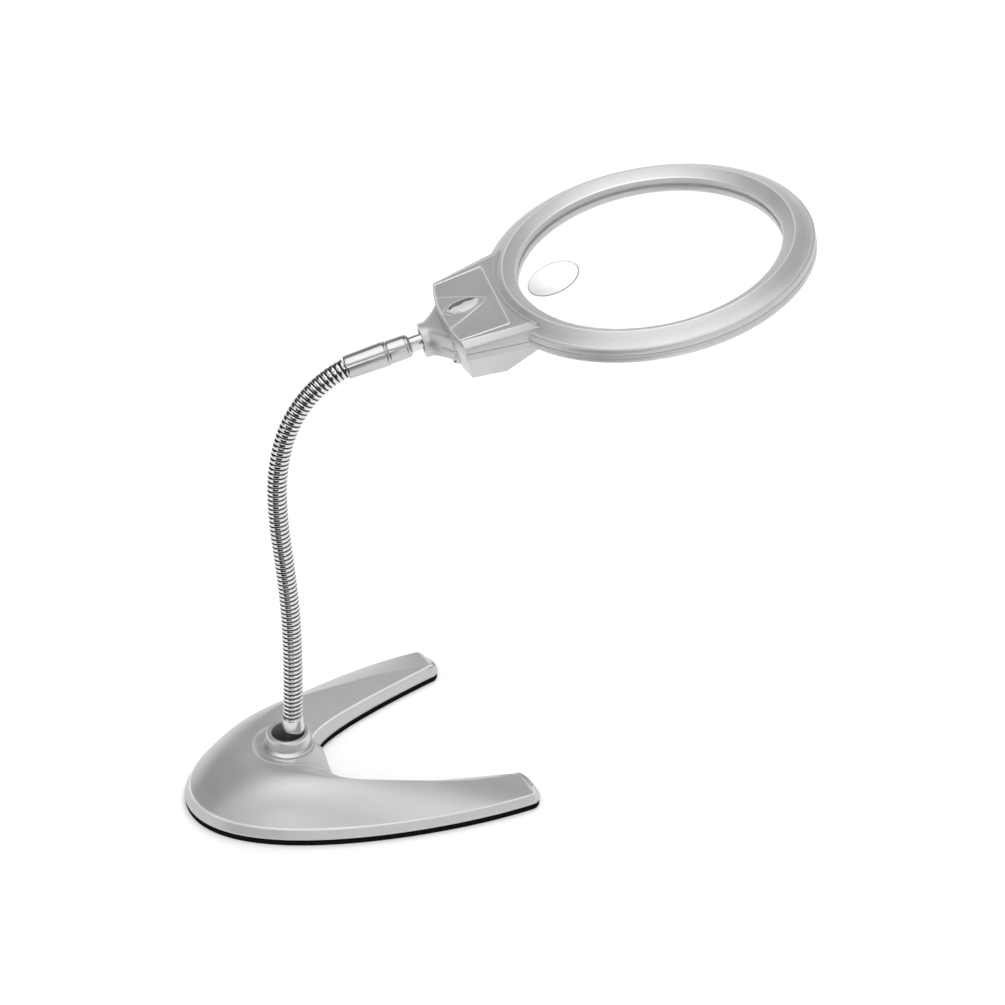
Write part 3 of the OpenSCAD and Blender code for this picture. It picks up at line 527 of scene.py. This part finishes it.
def base_shell():
    """The silver cover: skirts, two ridges, the crowned top, the dish and the seat for the collar."""
    stations = np.concatenate([along, 1 + np.sin(tip_turn)])[:, None]
    squeeze = np.concatenate([np.ones(len(along)), np.cos(tip_turn)])[:, None]
    skirt_a, skirt_b = base_rows(SKIRT_INSET, SKIRT_INSET, along, tip_turn)
    ridge_a, ridge_b = base_rows(RIDGE_INSET, RIDGE_INSET, along, tip_turn)
    top_k, top_z = base_top(stations, squeeze)
    top_xy = ridge_a[:, None] + (ridge_b - ridge_a)[:, None] * top_k[..., None]

    skirt_t = np.linspace(0, 1, 7)[:-1]
    side_a = [skirt_a + (ridge_a - skirt_a) * t for t in skirt_t]
    side_b = [skirt_b + (ridge_b - skirt_b) * t for t in skirt_t]
    side_za = [PAD_TOP + (top_z[:, 0] - PAD_TOP) * t for t in skirt_t]
    side_zb = [PAD_TOP + (top_z[:, -1] - PAD_TOP) * t for t in skirt_t]
    xy = np.concatenate([np.stack(side_a, 1), top_xy, np.stack(side_b[::-1], 1)], 1)
    z = np.concatenate([np.stack(side_za, 1), top_z, np.stack(side_zb[::-1], 1)], 1)

    # the two ridges, rounded a little, each with a painted highlight line
    crest = np.zeros(z.shape)
    for column in (len(skirt_t), xy.shape[1] - len(skirt_t) - 1):
        crest[:, column] = 1
        for grid in (xy, z):
            middle = 0.5 * (grid[:, column - 1] + grid[:, column + 1])
            grid[:, column] += RIDGE_EASE * (middle - grid[:, column])

    # the dish the collar stands in: round behind the collar, open toward the legs
    on_top = np.zeros(z.shape, bool)
    on_top[:, len(skirt_t):-len(skirt_t)] = True
    radius = np.linalg.norm(xy, axis=2)
    dish = np.where(xy[..., 0] < 0, radius, np.abs(xy[..., 1]) - 0.18 * xy[..., 0])
    dish_line = np.exp(-((dish - DISH_R) / 0.5) ** 2) * on_top * (1 - smooth(10, 24, xy[..., 0]))
    dip = DISH_DEEP * (1 - smooth(15.0, 17.2, dish)) * (1 - smooth(8, 18, xy[..., 0]))
    z = np.where(on_top, z - dip + 0.3 * dish_line, z)
    # a painted highlight along the dish's outline
    crest = np.maximum(crest, 0.8 * dish_line)
    seat = COLLAR_SEAT_Z - 1.6 * np.maximum(radius - COLLAR_SEAT_R, 0)
    z = np.where(on_top & (seat > 4), soft_max(z, seat, 1.2), z)

    shell = mirrored(np.concatenate([xy, z[..., None], crest[..., None]], 2))
    shell, crest = shell[..., :3], shell[..., 3]
    rows, cols = shell.shape[:2]
    flat_r = np.linalg.norm(shell[..., :2], axis=2)
    corners = [flat_r[:-1, :-1], flat_r[1:, :-1], flat_r[:-1, 1:], flat_r[1:, 1:]]
    outside = np.maximum.reduce(corners) > COLLAR_HOLE_R
    make("base_shell", shell.reshape(-1, 3), grid_faces(rows, cols, keep=outside, flip=True),
         LOOKS["silver_plastic"], "silver_plastic", "base", ["base_cover"], BASE_PLACE,
         thick=BASE_WALL, solid=False, marks={"crest": crest})


def base_foot():
    """The black rubber layer, with eased edges, under the cover's outline."""
    side_in, edge_in, ease = 0.3, 0.7, 0.45
    low_a, low_b = base_rows(edge_in, edge_in, along, tip_turn)
    mid_a, mid_b = base_rows(side_in, side_in, along, tip_turn)
    under_top = PAD_TOP - 0.15
    ring = [(low_a, 0.0), (mid_a, ease), (mid_a, under_top), (low_a, PAD_TOP),
            (low_b, PAD_TOP), (mid_b, under_top), (mid_b, ease), (low_b, 0.0)]
    foot = mirrored(np.stack([np.column_stack([p, np.full(len(p), level)]) for p, level in ring], 1))
    make("base_foot", foot.reshape(-1, 3), grid_faces(*foot.shape[:2], close_cols=True),
         LOOKS["black_rubber"], "black_rubber", "base", ["rubber_pad"], BASE_PLACE, angle=25)


def collar_ring():
    """The collar round the gooseneck's hole; its bore is painted darker as the shade in the hole."""
    bore_r, bore_top = 8.25, 32.6
    profile = rounded([(8, 18.2), (9.45, 18.2), (9.45, 25), (12.4, 25), (12.4, 26.3), (11.9, 26.6),
                       (10.55, 27.2), (10.35, 27.6), (10.8, 28.3), (10.8, 32.4), (10.1, 33.6),
                       (8.6, 33.7), (8.1, 33.1)], 0.35, 4, closed=True)
    ring = make("collar_ring", *lathe(profile, 160), satin_chrome, "chrome", "base", ["base_collar"])
    ring.data.materials.append(painted_bore_shade)
    # painted shade on the faces inside the bore
    for face in ring.data.polygons:
        x, y, level = face.center / MM
        if math.hypot(x, y) < bore_r and level < bore_top:
            face.material_index = 1


base_shell()
# the well's floor under the collar, painted darker as the shade deep in the hole
well = [(0, 16.4), (9.6, 16.4), (9.6, 18.1), (0, 18.1)]
make("base_well", *lathe(well, 64, close=False), painted_bore_shade, "silver_plastic", "base")
base_foot()
collar_ring()

# ---------------------------------------------------------------- gooseneck
# how far each link leans forwards, in degrees, from the stub in the base to the end piece
LEAN = [2.2, 1.8, -0.5, -4.2, -5, 1.2, 14.8, 38, 66]
HALF_LINK = 12.9
STUB_BASE = np.array([3.0, 0, 42.3])
BENDS = 8
NECK_R = 4.8
GROOVE = 0.75
LINER_R = 2.6
BALL_R = 3.95
RINGS = 86
STEPS_A_RING = 18


def lean_dir(i):
    a = math.radians(LEAN[i])
    return np.array([math.sin(a), 0, math.cos(a)])


joints = [STUB_BASE + lean_dir(0) * HALF_LINK]
for i in range(1, BENDS):
    joints.append(joints[-1] + lean_dir(i) * 2 * HALF_LINK)
neck_end = joints[-1] + lean_dir(BENDS) * HALF_LINK
middles = [joints[i] + lean_dir(i + 1) * HALF_LINK for i in range(BENDS - 1)]
stops = [STUB_BASE] + middles + [neck_end]


def neck_curve(k, t):
    """The smooth bend from the middle of one link to the middle of the next, and its direction."""
    p0, p1, p2 = stops[k], joints[k], stops[k + 1]
    t = t[:, None]
    point = (1 - t) ** 2 * p0 + 2 * t * (1 - t) * p1 + t * t * p2
    slope = 2 * (1 - t) * (p1 - p0) + 2 * t * (p2 - p1)
    return point, slope / np.linalg.norm(slope, axis=1)[:, None]


fine = np.linspace(0, 1, 1200)
curves = [neck_curve(k, fine) for k in range(BENDS)]
path_points = np.concatenate([c[0] for c in curves])
path_slopes = np.concatenate([c[1] for c in curves])
path_steps = np.linalg.norm(np.diff(path_points, axis=0), axis=1)
path_run = np.concatenate([[0], np.cumsum(path_steps)])
bend_middles = [path_run[k * len(fine) + len(fine) // 2] for k in range(BENDS)]
neck_cuts = [0.0] + bend_middles + [path_run[-1]]
pitch = path_run[-1] / RINGS
around = np.linspace(0, 2 * math.pi, 60, endpoint=False)
links = range(1, BENDS)
neck_bodies = ["base"] + [f"neck_link_{i}" for i in links] + ["neck_end"]
neck_nodes = ["gooseneck_stub"] + [f"gooseneck_link_{i}" for i in links] + ["gooseneck_end"]


def neck_piece(i):
    """The coil between two bends, with a ball at the bend below it that fills the joint as it opens, painted
    dark as shade.
    """
    count = int((neck_cuts[i + 1] - neck_cuts[i]) / pitch * STEPS_A_RING)
    run = np.linspace(neck_cuts[i], neck_cuts[i + 1], count)
    point = np.stack([np.interp(run, path_run, path_points[:, c]) for c in range(3)], 1)
    slope = np.stack([np.interp(run, path_run, path_slopes[:, c]) for c in range(3)], 1)
    slope /= np.linalg.norm(slope, axis=1)[:, None]
    side = np.array([0.0, 1.0, 0.0])
    out = np.cross(slope, side)
    phase = (run[:, None] / pitch - around[None, :] / (2 * math.pi)) % 1
    away = np.abs(phase - 0.5) * 2
    r = NECK_R - GROOVE * away ** 3.2
    c, s = np.cos(around)[None, :, None], np.sin(around)[None, :, None]
    ring_dir = c * side + s * out[:, None, :]
    skin = point[:, None] + ring_dir * r[..., None]
    back = np.linspace(count - 1, 0, 8).astype(int)
    core = point[back][:, None] + ring_dir[back] * LINER_R
    tube = np.concatenate([skin, core])
    verts = tube.reshape(-1, 3)
    faces = grid_faces(*tube.shape[:2], close_rows=True, close_cols=True)
    # painted shade: darkest at the bottom of each groove, and all over the ball
    dark = np.concatenate([smooth(0.5, 0.86, away), np.zeros(core.shape[:2])]).ravel()
    if i:
        arc = np.linspace(-math.pi / 2, math.pi / 2, 17)
        outline = BALL_R * np.column_stack([np.cos(arc), np.sin(arc)])
        ball, ball_faces = lathe(outline, 32, close=False)
        faces = faces + [[v + len(verts) for v in f] for f in ball_faces]
        verts = np.concatenate([verts, ball + point[0]])
        dark = np.concatenate([dark, np.ones(len(ball))])
    make(f"neck_skin_{i + 1}", verts, faces, ring_chrome, "chrome", neck_bodies[i], [neck_nodes[i]],
         angle=70, marks={"groove": dark})


for i in range(BENDS + 1):
    neck_piece(i)

# ---------------------------------------------------------------- ferrules
SLEEVE_PLACE = Matrix.Translation((2.8, 0, 0))
sleeve = rounded([(0, 17), (3.5, 17), (5.05, 18), (5.05, 33.2), (5.55, 34.2), (5.68, 35.6), (5.6, 36.4),
                  (5.22, 42.1), (5.0, 42.5), (4.4, 42.6), (4.2, 42.0), (4.2, 40), (0, 40)], 0.3, 3)
make("lower_sleeve", *lathe(sleeve, 128, close=False), LOOKS["chrome"], "chrome", "base",
     ["lower_ferrule"], SLEEVE_PLACE)

PIN_PITCH = 14.6
pin_dir = np.array([math.cos(math.radians(PIN_PITCH)), 0, math.sin(math.radians(PIN_PITCH))])
PIN_PLACE = Matrix.Translation(Vector(neck_end)) @ rot_y(90 - PIN_PITCH)
ferrule = rounded([(0, 2.2), (4.4, 2.2), (4.75, 0.25), (5.15, 0), (5.5, 0.3), (5.6, 0.9), (6.0, 18.6),
                   (6.02, 19.0), (5.75, 19.2), (5.75, 19.5), (6.02, 19.7), (6.05, 20.2), (5.65, 20.6),
                   (5.45, 20.75), (5.45, 21.0), (5.6, 21.2), (5.6, 29.3), (5.35, 29.45), (5.35, 29.65),
                   (5.55, 29.8), (5.4, 30.5), (4.6, 31.5), (4.2, 31.7), (3.9, 31.6), (0, 31.6)], 0.25, 3)
make("upper_sleeve", *lathe(ferrule, 160, close=False), brushed_chrome, "chrome", "neck_end",
     ["upper_ferrule"], PIN_PLACE)

# ---------------------------------------------------------------- head
NECK_X, NECK_Z = -112.4, -11.7
PIN_SHOWN = 37.3
HEAD_BASE = Vector((neck_end + pin_dir * PIN_SHOWN).tolist())
PIN_LOCAL = Vector((NECK_X, 0, NECK_Z))
HEAD = (Matrix.Translation(HEAD_BASE) @ rot_y(-PIN_PITCH)
        @ Matrix.Rotation(math.radians(2.5), 4, "X") @ rot_y(3.35) @ Matrix.Translation(-PIN_LOCAL))



def rim_ring():
    """The upper frame ring: cone, ridge, outer band, step and parting groove."""
    count = 320
    profile = rounded([(62.3, -3.0), (62.35, -0.3), (62.9, 0.15), (68.0, 2.68), (68.5, 2.8), (69.0, 2.58),
                       (72.6, 0.9), (75.7, -0.95), (76.0, -1.0), (76.9, -1.35), (77.3, -2.0), (77.38, -2.9),
                       (77.38, -4.45), (76.9, -4.6), (76.9, -4.85), (77.38, -5.0), (77.38, -6.0),
                       (75.6, -6.0), (75.6, -2.9), (68.5, 0.7), (66.4, -0.4), (66.4, -3.0)],
                      0.22, 3, closed=True)
    crest = np.zeros(len(profile))
    # painted highlight lines on the ridge, the inner lip and the outer step: radius, width, lowest height,
    # strength
    for r, width, lowest, strength in ((68.5, 0.4, 1.6, 1), (62.7, 0.35, -1, 1), (75.9, 0.35, -1.4, 0.6)):
        crest += strength * np.exp(-((profile[:, 0] - r) / width) ** 2) * (profile[:, 1] > lowest)
    make("rim_ring", *lathe(profile, count), LOOKS["silver_plastic"], "silver_plastic", "head", (), HEAD,
         angle=30, marks={"crest": np.repeat(crest, count)})


rim_ring()

HANDLE_X, BOW, HALF_W, SIDE_TAN = -97.8, 3.8, 30.8, 5.9 / 37.8
LEAF_X, LEAF_LEN, LEAF_HALF = -79, 22, 15
FRAME_X, FRAME_HALF = -74.5, 26.5
EDGE_IN = 0.4
BEVEL = 4.0
EYE_X, EYE_LONG, EYE_HIGH = -90, 7.8, 5.0
EYE_R = (EYE_LONG ** 2 + EYE_HIGH ** 2) / (2 * EYE_HIGH)


def half_width(x):
    return HALF_W + (x - HANDLE_X) * SIDE_TAN


def left_edge(y):
    return HANDLE_X - BOW * (1 - (y / HALF_W) ** 2)


def top_shape(x, y):
    """The handle's top and its painted highlight lines: a plane that rises to the lens, bevels, a swell,
    thin lines.
    """
    plane = -0.7 + (x - HANDLE_X) * math.tan(math.radians(4.5))
    edge = -2.75 + (x - HANDLE_X) * math.tan(math.radians(6.5))
    from_left = x - left_edge(y)
    inset = np.minimum(half_width(x) - np.abs(y), 4 * from_left)
    z = edge + (plane - edge) * np.clip((inset - EDGE_IN) / (BEVEL - EDGE_IN), 0, 1)
    leaf = LEAF_HALF * np.clip((LEAF_X - x) / LEAF_LEN, 0, 1) ** 0.75
    within = 1 - np.abs(y) / np.maximum(leaf, 0.01)
    near = smooth(0, 0.12, within) * (0.55 + 0.45 * np.clip(within, 0, 1))
    far = smooth(0, 0.9, within)
    swell = np.where(y < 0, near, far) * 0.45 * smooth(0, 0.35, (LEAF_X - x) / LEAF_LEN)
    z = z + np.where(within > 0, swell, 0) * smooth(0.4, 2.2, inset)
    frame_y = 25.4 + (x + 97) * 0.049
    line = np.minimum(
        np.where(x < FRAME_X, np.abs(np.abs(y) - frame_y), 9),
        np.where(np.abs(y) < FRAME_HALF, np.abs(x - FRAME_X), 9),
    )
    frame_line = (1 - smooth(0.2, 0.55, line)) * smooth(3.2, 4.2, inset)
    z = z + 0.26 * frame_line
    brow = np.minimum(np.abs(half_width(x) - np.abs(y) - BEVEL), np.abs(from_left - 1.0))
    # painted highlights along the frame line, the bevel's brow, the leaf's outline and the chevrons
    crest = np.maximum(frame_line, 0.7 * (1 - smooth(0.15, 0.5, brow)) * smooth(3.2, 4.0, inset))
    leaf_line = (1 - smooth(0.2, 0.6, np.abs(np.abs(y) - leaf))) * (x < LEAF_X) * smooth(1, 3, inset)
    crest = np.maximum(crest, 0.75 * leaf_line)
    for at in (-100.4, -98.2):
        arrow = np.abs(x - (at + 0.75 * np.abs(y)))
        chevron = (1 - smooth(0.15, 0.5, arrow)) * (np.abs(y) < 4.6) * smooth(1, 2, inset)
        z = z + 0.16 * chevron
        crest = np.maximum(crest, 0.8 * chevron)
    return z, crest


def top_height(x, y):
    return top_shape(x, y)[0]


v = np.linspace(-1, 1, 281)
u = np.linspace(0, 1, 130)
u, v = np.meshgrid(u, v, indexing="ij")
x = np.full(u.shape, -85.0)
for _ in range(6):
    y = v * (half_width(x) - EDGE_IN)
    x_left = left_edge(y) + EDGE_IN
    x_arc = -np.sqrt(np.maximum(72.6 ** 2 - y ** 2, 1))
    x = x_left + (x_arc - x_left) * u
top = np.stack([x, y, top_height(x, y)], -1)


def in_eye(px, py, grow):
    """True inside the badge's outline, where two arcs cross, grown by so much."""
    lift = EYE_R - EYE_HIGH
    px = px - EYE_X
    return np.maximum(np.hypot(px, py - lift), np.hypot(px, py + lift)) < EYE_R + grow


cx = (x[:-1, :-1] + x[1:, 1:]) / 2
cy = (y[:-1, :-1] + y[1:, 1:]) / 2
rows, cols = top.shape[:2]
make("handle_top", top.reshape(-1, 3), grid_faces(rows, cols, keep=~in_eye(cx, cy, 0.1)),
     LOOKS["silver_plastic"], "silver_plastic", "head", (), HEAD, thick=1.6, solid=False, angle=30,
     marks={"crest": top_shape(x, y)[1]})

# the handle's wall, round its open side: far side, left edge, near side
far = np.stack([top[::-1, -1, 0], top[::-1, -1, 1]], -1)
left = np.stack([top[0, ::-1, 0], top[0, ::-1, 1]], -1)
near = np.stack([top[:, 0, 0], top[:, 0, 1]], -1)
path = np.vstack([far[:-1], left[:-1], near])
outward = np.vstack([np.tile([0, 1.0], (len(far) - 1, 1)), np.tile([-1.0, 0], (len(left) - 1, 1)),
                     np.tile([0, -1.0], (len(near), 1))])
outward[len(far) - 1] = (-1, 1)
outward[len(far) + len(left) - 2] = (-1, -1)
edge_z = top_height(path[:, 0], path[:, 1])
levels = []
for shift, drop_by, fixed in ((0.0, 0.0, None), (0.16, 0.1, None), (0.32, 0.35, None), (0.38, 0.7, None),
                              (0.4, None, -4.6), (0.4, None, -5.7), (0.25, None, -5.85), (-0.4, None, -5.9)):
    level = edge_z - drop_by if fixed is None else np.full(len(path), fixed)
    levels.append(np.column_stack([path + outward * shift, level]))
wall = np.stack(levels)
make("handle_wall", wall.reshape(-1, 3), grid_faces(*wall.shape[:2]), LOOKS["silver_plastic"],
     "silver_plastic", "head", (), HEAD, thick=1.2, solid=False, angle=30)

# the raised bead where the handle meets the lens frame: steps out from its radius, and lifts
BEAD = ((-1.3, -0.9), (-1.15, -0.15), (-0.7, 0.28), (0.0, 0.42), (0.6, 0.32), (1.0, 0.02), (1.1, -0.9))
bead_r = 72.3
span = math.asin(35.0 / bead_r)
angles = np.linspace(math.pi - span, math.pi + span, 160)
bead = []
for dr, lift in BEAD:
    bx, by = (bead_r + dr) * np.cos(angles), (bead_r + dr) * np.sin(angles)
    hx, hy = (bead_r + 0.5) * np.cos(angles), (bead_r + 0.5) * np.sin(angles)
    bead.append(np.column_stack([bx, by, top_height(hx, hy) + lift]))
bead = np.stack(bead)
make("handle_bead", bead.reshape(-1, 3), grid_faces(*bead.shape[:2], close_rows=True),
     LOOKS["silver_plastic"], "silver_plastic", "head", (), HEAD, angle=30)


SEAM = 0.08
NECK_R_OUT, NECK_R_IN = 8, 5.4
FLARE_LEN, FLARE = 11.6, 9.3
NECK_LAST_X = -95.0


def neck_section(x, theta):
    """The neck's outline at x: it flares from a round mouth to the handle's wall."""
    k = np.clip((x - NECK_X) / FLARE_LEN, 0, 1)
    wide = NECK_R_OUT + FLARE * k ** 2.3
    tall = NECK_R_OUT - 0.9 * smooth(0, 1, k)
    middle = NECK_Z + 0.4 * k
    power = 2 + 3.5 * smooth(0.2, 1, k)
    c, s = np.cos(theta), np.sin(theta)
    y = wide * np.sign(c) * np.abs(c) ** (2 / power)
    z = middle + tall * np.sign(s) * np.abs(s) ** (2 / power)
    return y, z


def neck_half(name, first, stands_for):
    """One half of the neck, from the angle first on, with its mouth turned in round the pin."""
    theta = np.linspace(first, first + math.pi, 72)
    apart = SEAM if first == 0 else -SEAM
    part = []
    for x0 in np.linspace(NECK_X, NECK_LAST_X, 54):
        ny, nz = neck_section(x0, theta)
        part.append(np.column_stack([np.full(len(theta), x0), ny, nz + apart]))
    mouth = part[0].copy()
    mouth[:, 1] *= NECK_R_IN / NECK_R_OUT
    mouth[:, 2] = NECK_Z + (mouth[:, 2] - NECK_Z) * NECK_R_IN / NECK_R_OUT
    deep = mouth.copy()
    deep[:, 0] += 2
    part = np.stack([deep, mouth] + part)
    make(name, part.reshape(-1, 3), grid_faces(*part.shape[:2], flip=True), LOOKS["silver_plastic"],
         "silver_plastic", "head", stands_for, HEAD, thick=1.2, solid=False, angle=35)


neck_half("neck_top", 0, ["head_top_shell"])
neck_half("neck_low", math.pi, ())


def trimmer(name, low, high):
    """A hidden block that trims the plain neck off the lower shell, where the flared neck stands."""
    (x0, y0, z0), (x1, y1, z1) = low, high
    corners = [(x, y, z) for x in (x0, x1) for y in (y0, y1) for z in (z0, z1)]
    sides = [(0, 1, 3, 2), (4, 6, 7, 5), (0, 4, 5, 1), (2, 3, 7, 6), (0, 2, 6, 4), (1, 5, 7, 3)]
    block = make(name, corners, sides, LOOKS["silver_plastic"], "silver_plastic", "head", (), HEAD)
    block.hide_render = True
    block.hide_viewport = True
    return block


neck_trims = [trimmer("trim_neck", (-125, -30, -30), (-101.7, 30, 5)),
              trimmer("trim_block", (-104, -17.3, -18.6), (-100.7, 17.3, -4.0))]

# ---------------------------------------------------------------- lens
DOME_R, TOP_SAG, BOTTOM_SAG = 61.8, 8.0, 4.8
LENS_R, LENS_TOP, LENS_BOTTOM = 65.0, -3.05, -6.1
FLANGE_EASE = 0.2
SPOT_X, SPOT_R, SPOT_RISE, SPOT_SPHERE = -46.4, 12.2, 2.3, 28.0
SPOT_STEP = 0.12
LENS_AROUND, SPOT_ROWS, DOME_ROWS = 256, 24, 40
top_sphere = (DOME_R ** 2 + TOP_SAG ** 2) / (2 * TOP_SAG)
low_sphere = (DOME_R ** 2 + BOTTOM_SAG ** 2) / (2 * BOTTOM_SAG)


def dome(x, y):
    return LENS_TOP + TOP_SAG - top_sphere + np.sqrt(top_sphere ** 2 - x * x - y * y)


def spot_cap(d):
    """How far the spot lens stands above the main one, at d from its middle."""
    rise = np.sqrt(SPOT_SPHERE ** 2 - d ** 2) - SPOT_SPHERE + SPOT_RISE
    return max(float(rise), 0)


def lens_clear():
    """The main lens, the spot lens moulded on it, and the flange that the frame holds."""
    th = np.linspace(0, 2 * math.pi, LENS_AROUND, endpoint=False)
    reach = (-SPOT_X * np.cos(th) + np.sqrt(DOME_R ** 2 - (SPOT_X * np.sin(th)) ** 2))
    spot_rings = np.linspace(0, SPOT_R, SPOT_ROWS)
    rows = []
    for d in spot_rings:
        px, py = SPOT_X + d * np.cos(th), d * np.sin(th)
        rows.append(np.column_stack([px, py, dome(px, py) + spot_cap(d) + (d ** 2 / (2 * top_sphere))]))
    foot = SPOT_R + SPOT_STEP
    for f in np.concatenate([[0, 0.004], np.linspace(0, 1, DOME_ROWS - 1)[1:]]):
        d = foot + (reach - foot) * f
        px, py = SPOT_X + d * np.cos(th), d * np.sin(th)
        rows.append(np.column_stack([px, py, dome(px, py)]))
    turn_to = np.arctan2(rows[-1][:, 1], rows[-1][:, 0])

    def level_row(r, z):
        return np.column_stack([r * np.cos(turn_to), r * np.sin(turn_to), np.full(LENS_AROUND, z)])

    eased = LENS_R - FLANGE_EASE
    rows += [level_row(eased, LENS_TOP), level_row(LENS_R, LENS_TOP - FLANGE_EASE),
             level_row(LENS_R, LENS_BOTTOM + FLANGE_EASE), level_row(eased, LENS_BOTTOM),
             level_row(DOME_R, LENS_BOTTOM)]
    for r in DOME_R * np.linspace(1, 0, DOME_ROWS)[1:]:
        z = LENS_BOTTOM - BOTTOM_SAG + low_sphere - math.sqrt(low_sphere ** 2 - r ** 2)
        rows.append(level_row(r, z))
    body = np.stack(rows)

    # painted shade: the spot lens is darkened toward its lower left, with a dark line painted round its
    # foot, in place of its refraction
    shade = np.zeros(body.shape[:2])
    last = SPOT_ROWS - 1
    shade[last:last + 2] = 0.85
    leaning = np.clip(np.cos(th - math.radians(200)), 0, 1)
    shade[:last] = 0.42 * (spot_rings[:last, None] / SPOT_R) ** 1.6 * leaning
    # painted light on the flange under the frame's lip
    flange_light = np.zeros(body.shape[:2])
    flange = SPOT_ROWS + DOME_ROWS
    flange_light[flange:flange + 4] = 0.6
    make("lens_clear", body.reshape(-1, 3), grid_faces(*body.shape[:2], close_cols=True),
         LOOKS["clear_lens"], "clear_lens", "head", ["lens"], HEAD, angle=25,
         marks={"shade": shade, "flange_light": flange_light})


lens_clear()

# ---------------------------------------------------------------- badge
BADGE = HEAD @ Matrix.Translation((EYE_X, 0, 0.1)) @ rot_y(-4.5)
BADGE_UP, BADGE_RIM, BADGE_CROWN, BADGE_FOOT = 0.5, 0.3, 0.55, -0.4


def badge_eye():
    """A crowned eye with a raised rim, painted bright below a wavy line and dark above it: a painted
    reflection.
    """
    bu, bv = np.meshgrid(np.linspace(-1, 1, 97), np.linspace(-1, 1, 49), indexing="ij")
    bx = bu * EYE_LONG
    lid = np.sqrt(EYE_R ** 2 - bx ** 2) - (EYE_R - EYE_HIGH)
    by = bv * lid
    to_edge = np.minimum((1 - np.abs(bv)) * lid, (EYE_LONG - np.abs(bx)) * 0.5)
    bz = BADGE_UP + BADGE_RIM * (1 - smooth(0.35, 0.75, to_edge)) * smooth(-0.01, 0.15, to_edge)
    bz = bz + BADGE_CROWN * (1 - bu ** 2) * (1 - bv ** 2)
    plate = np.stack([bx, by, bz], -1)
    # painted reflection: bright below the wavy line and round the rim
    wave = 0.7 + 0.12 * bx + 0.35 * np.sin(bx * 1.1)
    lit = np.maximum(smooth(-0.12, 0.12, wave - by), 0.8 * (to_edge < 0.45))
    low = plate.copy()
    low[..., 2] = BADGE_FOOT
    n_u, n_v = plate.shape[:2]
    count = n_u * n_v
    top_faces = grid_faces(n_u, n_v)
    faces = top_faces + [[a + count for a in f[::-1]] for f in top_faces]
    for a in range(n_u - 1):
        for b in (0, n_v - 1):
            p, q = a * n_v + b, (a + 1) * n_v + b
            faces.append([p, q, q + count, p + count] if b else [q, p, p + count, q + count])
    make("badge_eye", np.concatenate([plate.reshape(-1, 3), low.reshape(-1, 3)]), faces,
         LOOKS["badge_chrome"], "badge_chrome", "head", ["badge"], BADGE, angle=30,
         marks={"crest": np.concatenate([lit.ravel(), lit.ravel()])})


badge_eye()

# ---------------------------------------------------------------- pieces whose CAD shape stays
CAD_LOOKS = {
    "silver_plastic": ["head_bottom_shell", "battery_door"],
    "chrome": ["swivel_pin"],
    "cast_iron": ["base_weight"],
    "zinc_steel": ["base_plate", "base_screws", "stud_washer", "stud_nut", "pin_clip", "head_screws"],
    "white_nylon": ["neck_bush"],
    "black_plastic": ["switch_body", "switch_slider"],
    "green_board": ["led_board"],
    "led_resin": ["led_left", "led_right"],
    "clear_lens": ["led_windows"],
    "cell_jacket": ["battery_1", "battery_2"],
    "nickel_contact": ["battery_springs", "battery_contacts"],
    "red_wire": ["wire_red"],
    "black_wire": ["wire_black"],
}
SOFT_EDGE = {"head_bottom_shell": 0.45, "battery_door": 0.3, "switch_slider": 0.2, "stud_nut": 0.3,
             "base_weight": 0.6, "head_screws": 0.12}
TRIMMED = "head_bottom_shell"
WELD_WITHIN = 0.000002
for slot_name, names in CAD_LOOKS.items():
    for name in names:
        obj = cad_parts[name]
        obj.data.materials.clear()
        obj.data.materials.append(LOOKS[slot_name])
        weld = obj.modifiers.new("weld", "WELD")
        weld.merge_threshold = WELD_WITHIN
        for block in neck_trims if name == TRIMMED else ():
            cut = obj.modifiers.new("trim", "BOOLEAN")
            cut.operation = "DIFFERENCE"
            cut.solver = "EXACT"
            cut.object = block
        if name in SOFT_EDGE:
            bevel = obj.modifiers.new("edges", "BEVEL")
            bevel.width = SOFT_EDGE[name] * MM
            bevel.segments = 2
            bevel.limit_method = "ANGLE"
            bevel.angle_limit = math.radians(32)
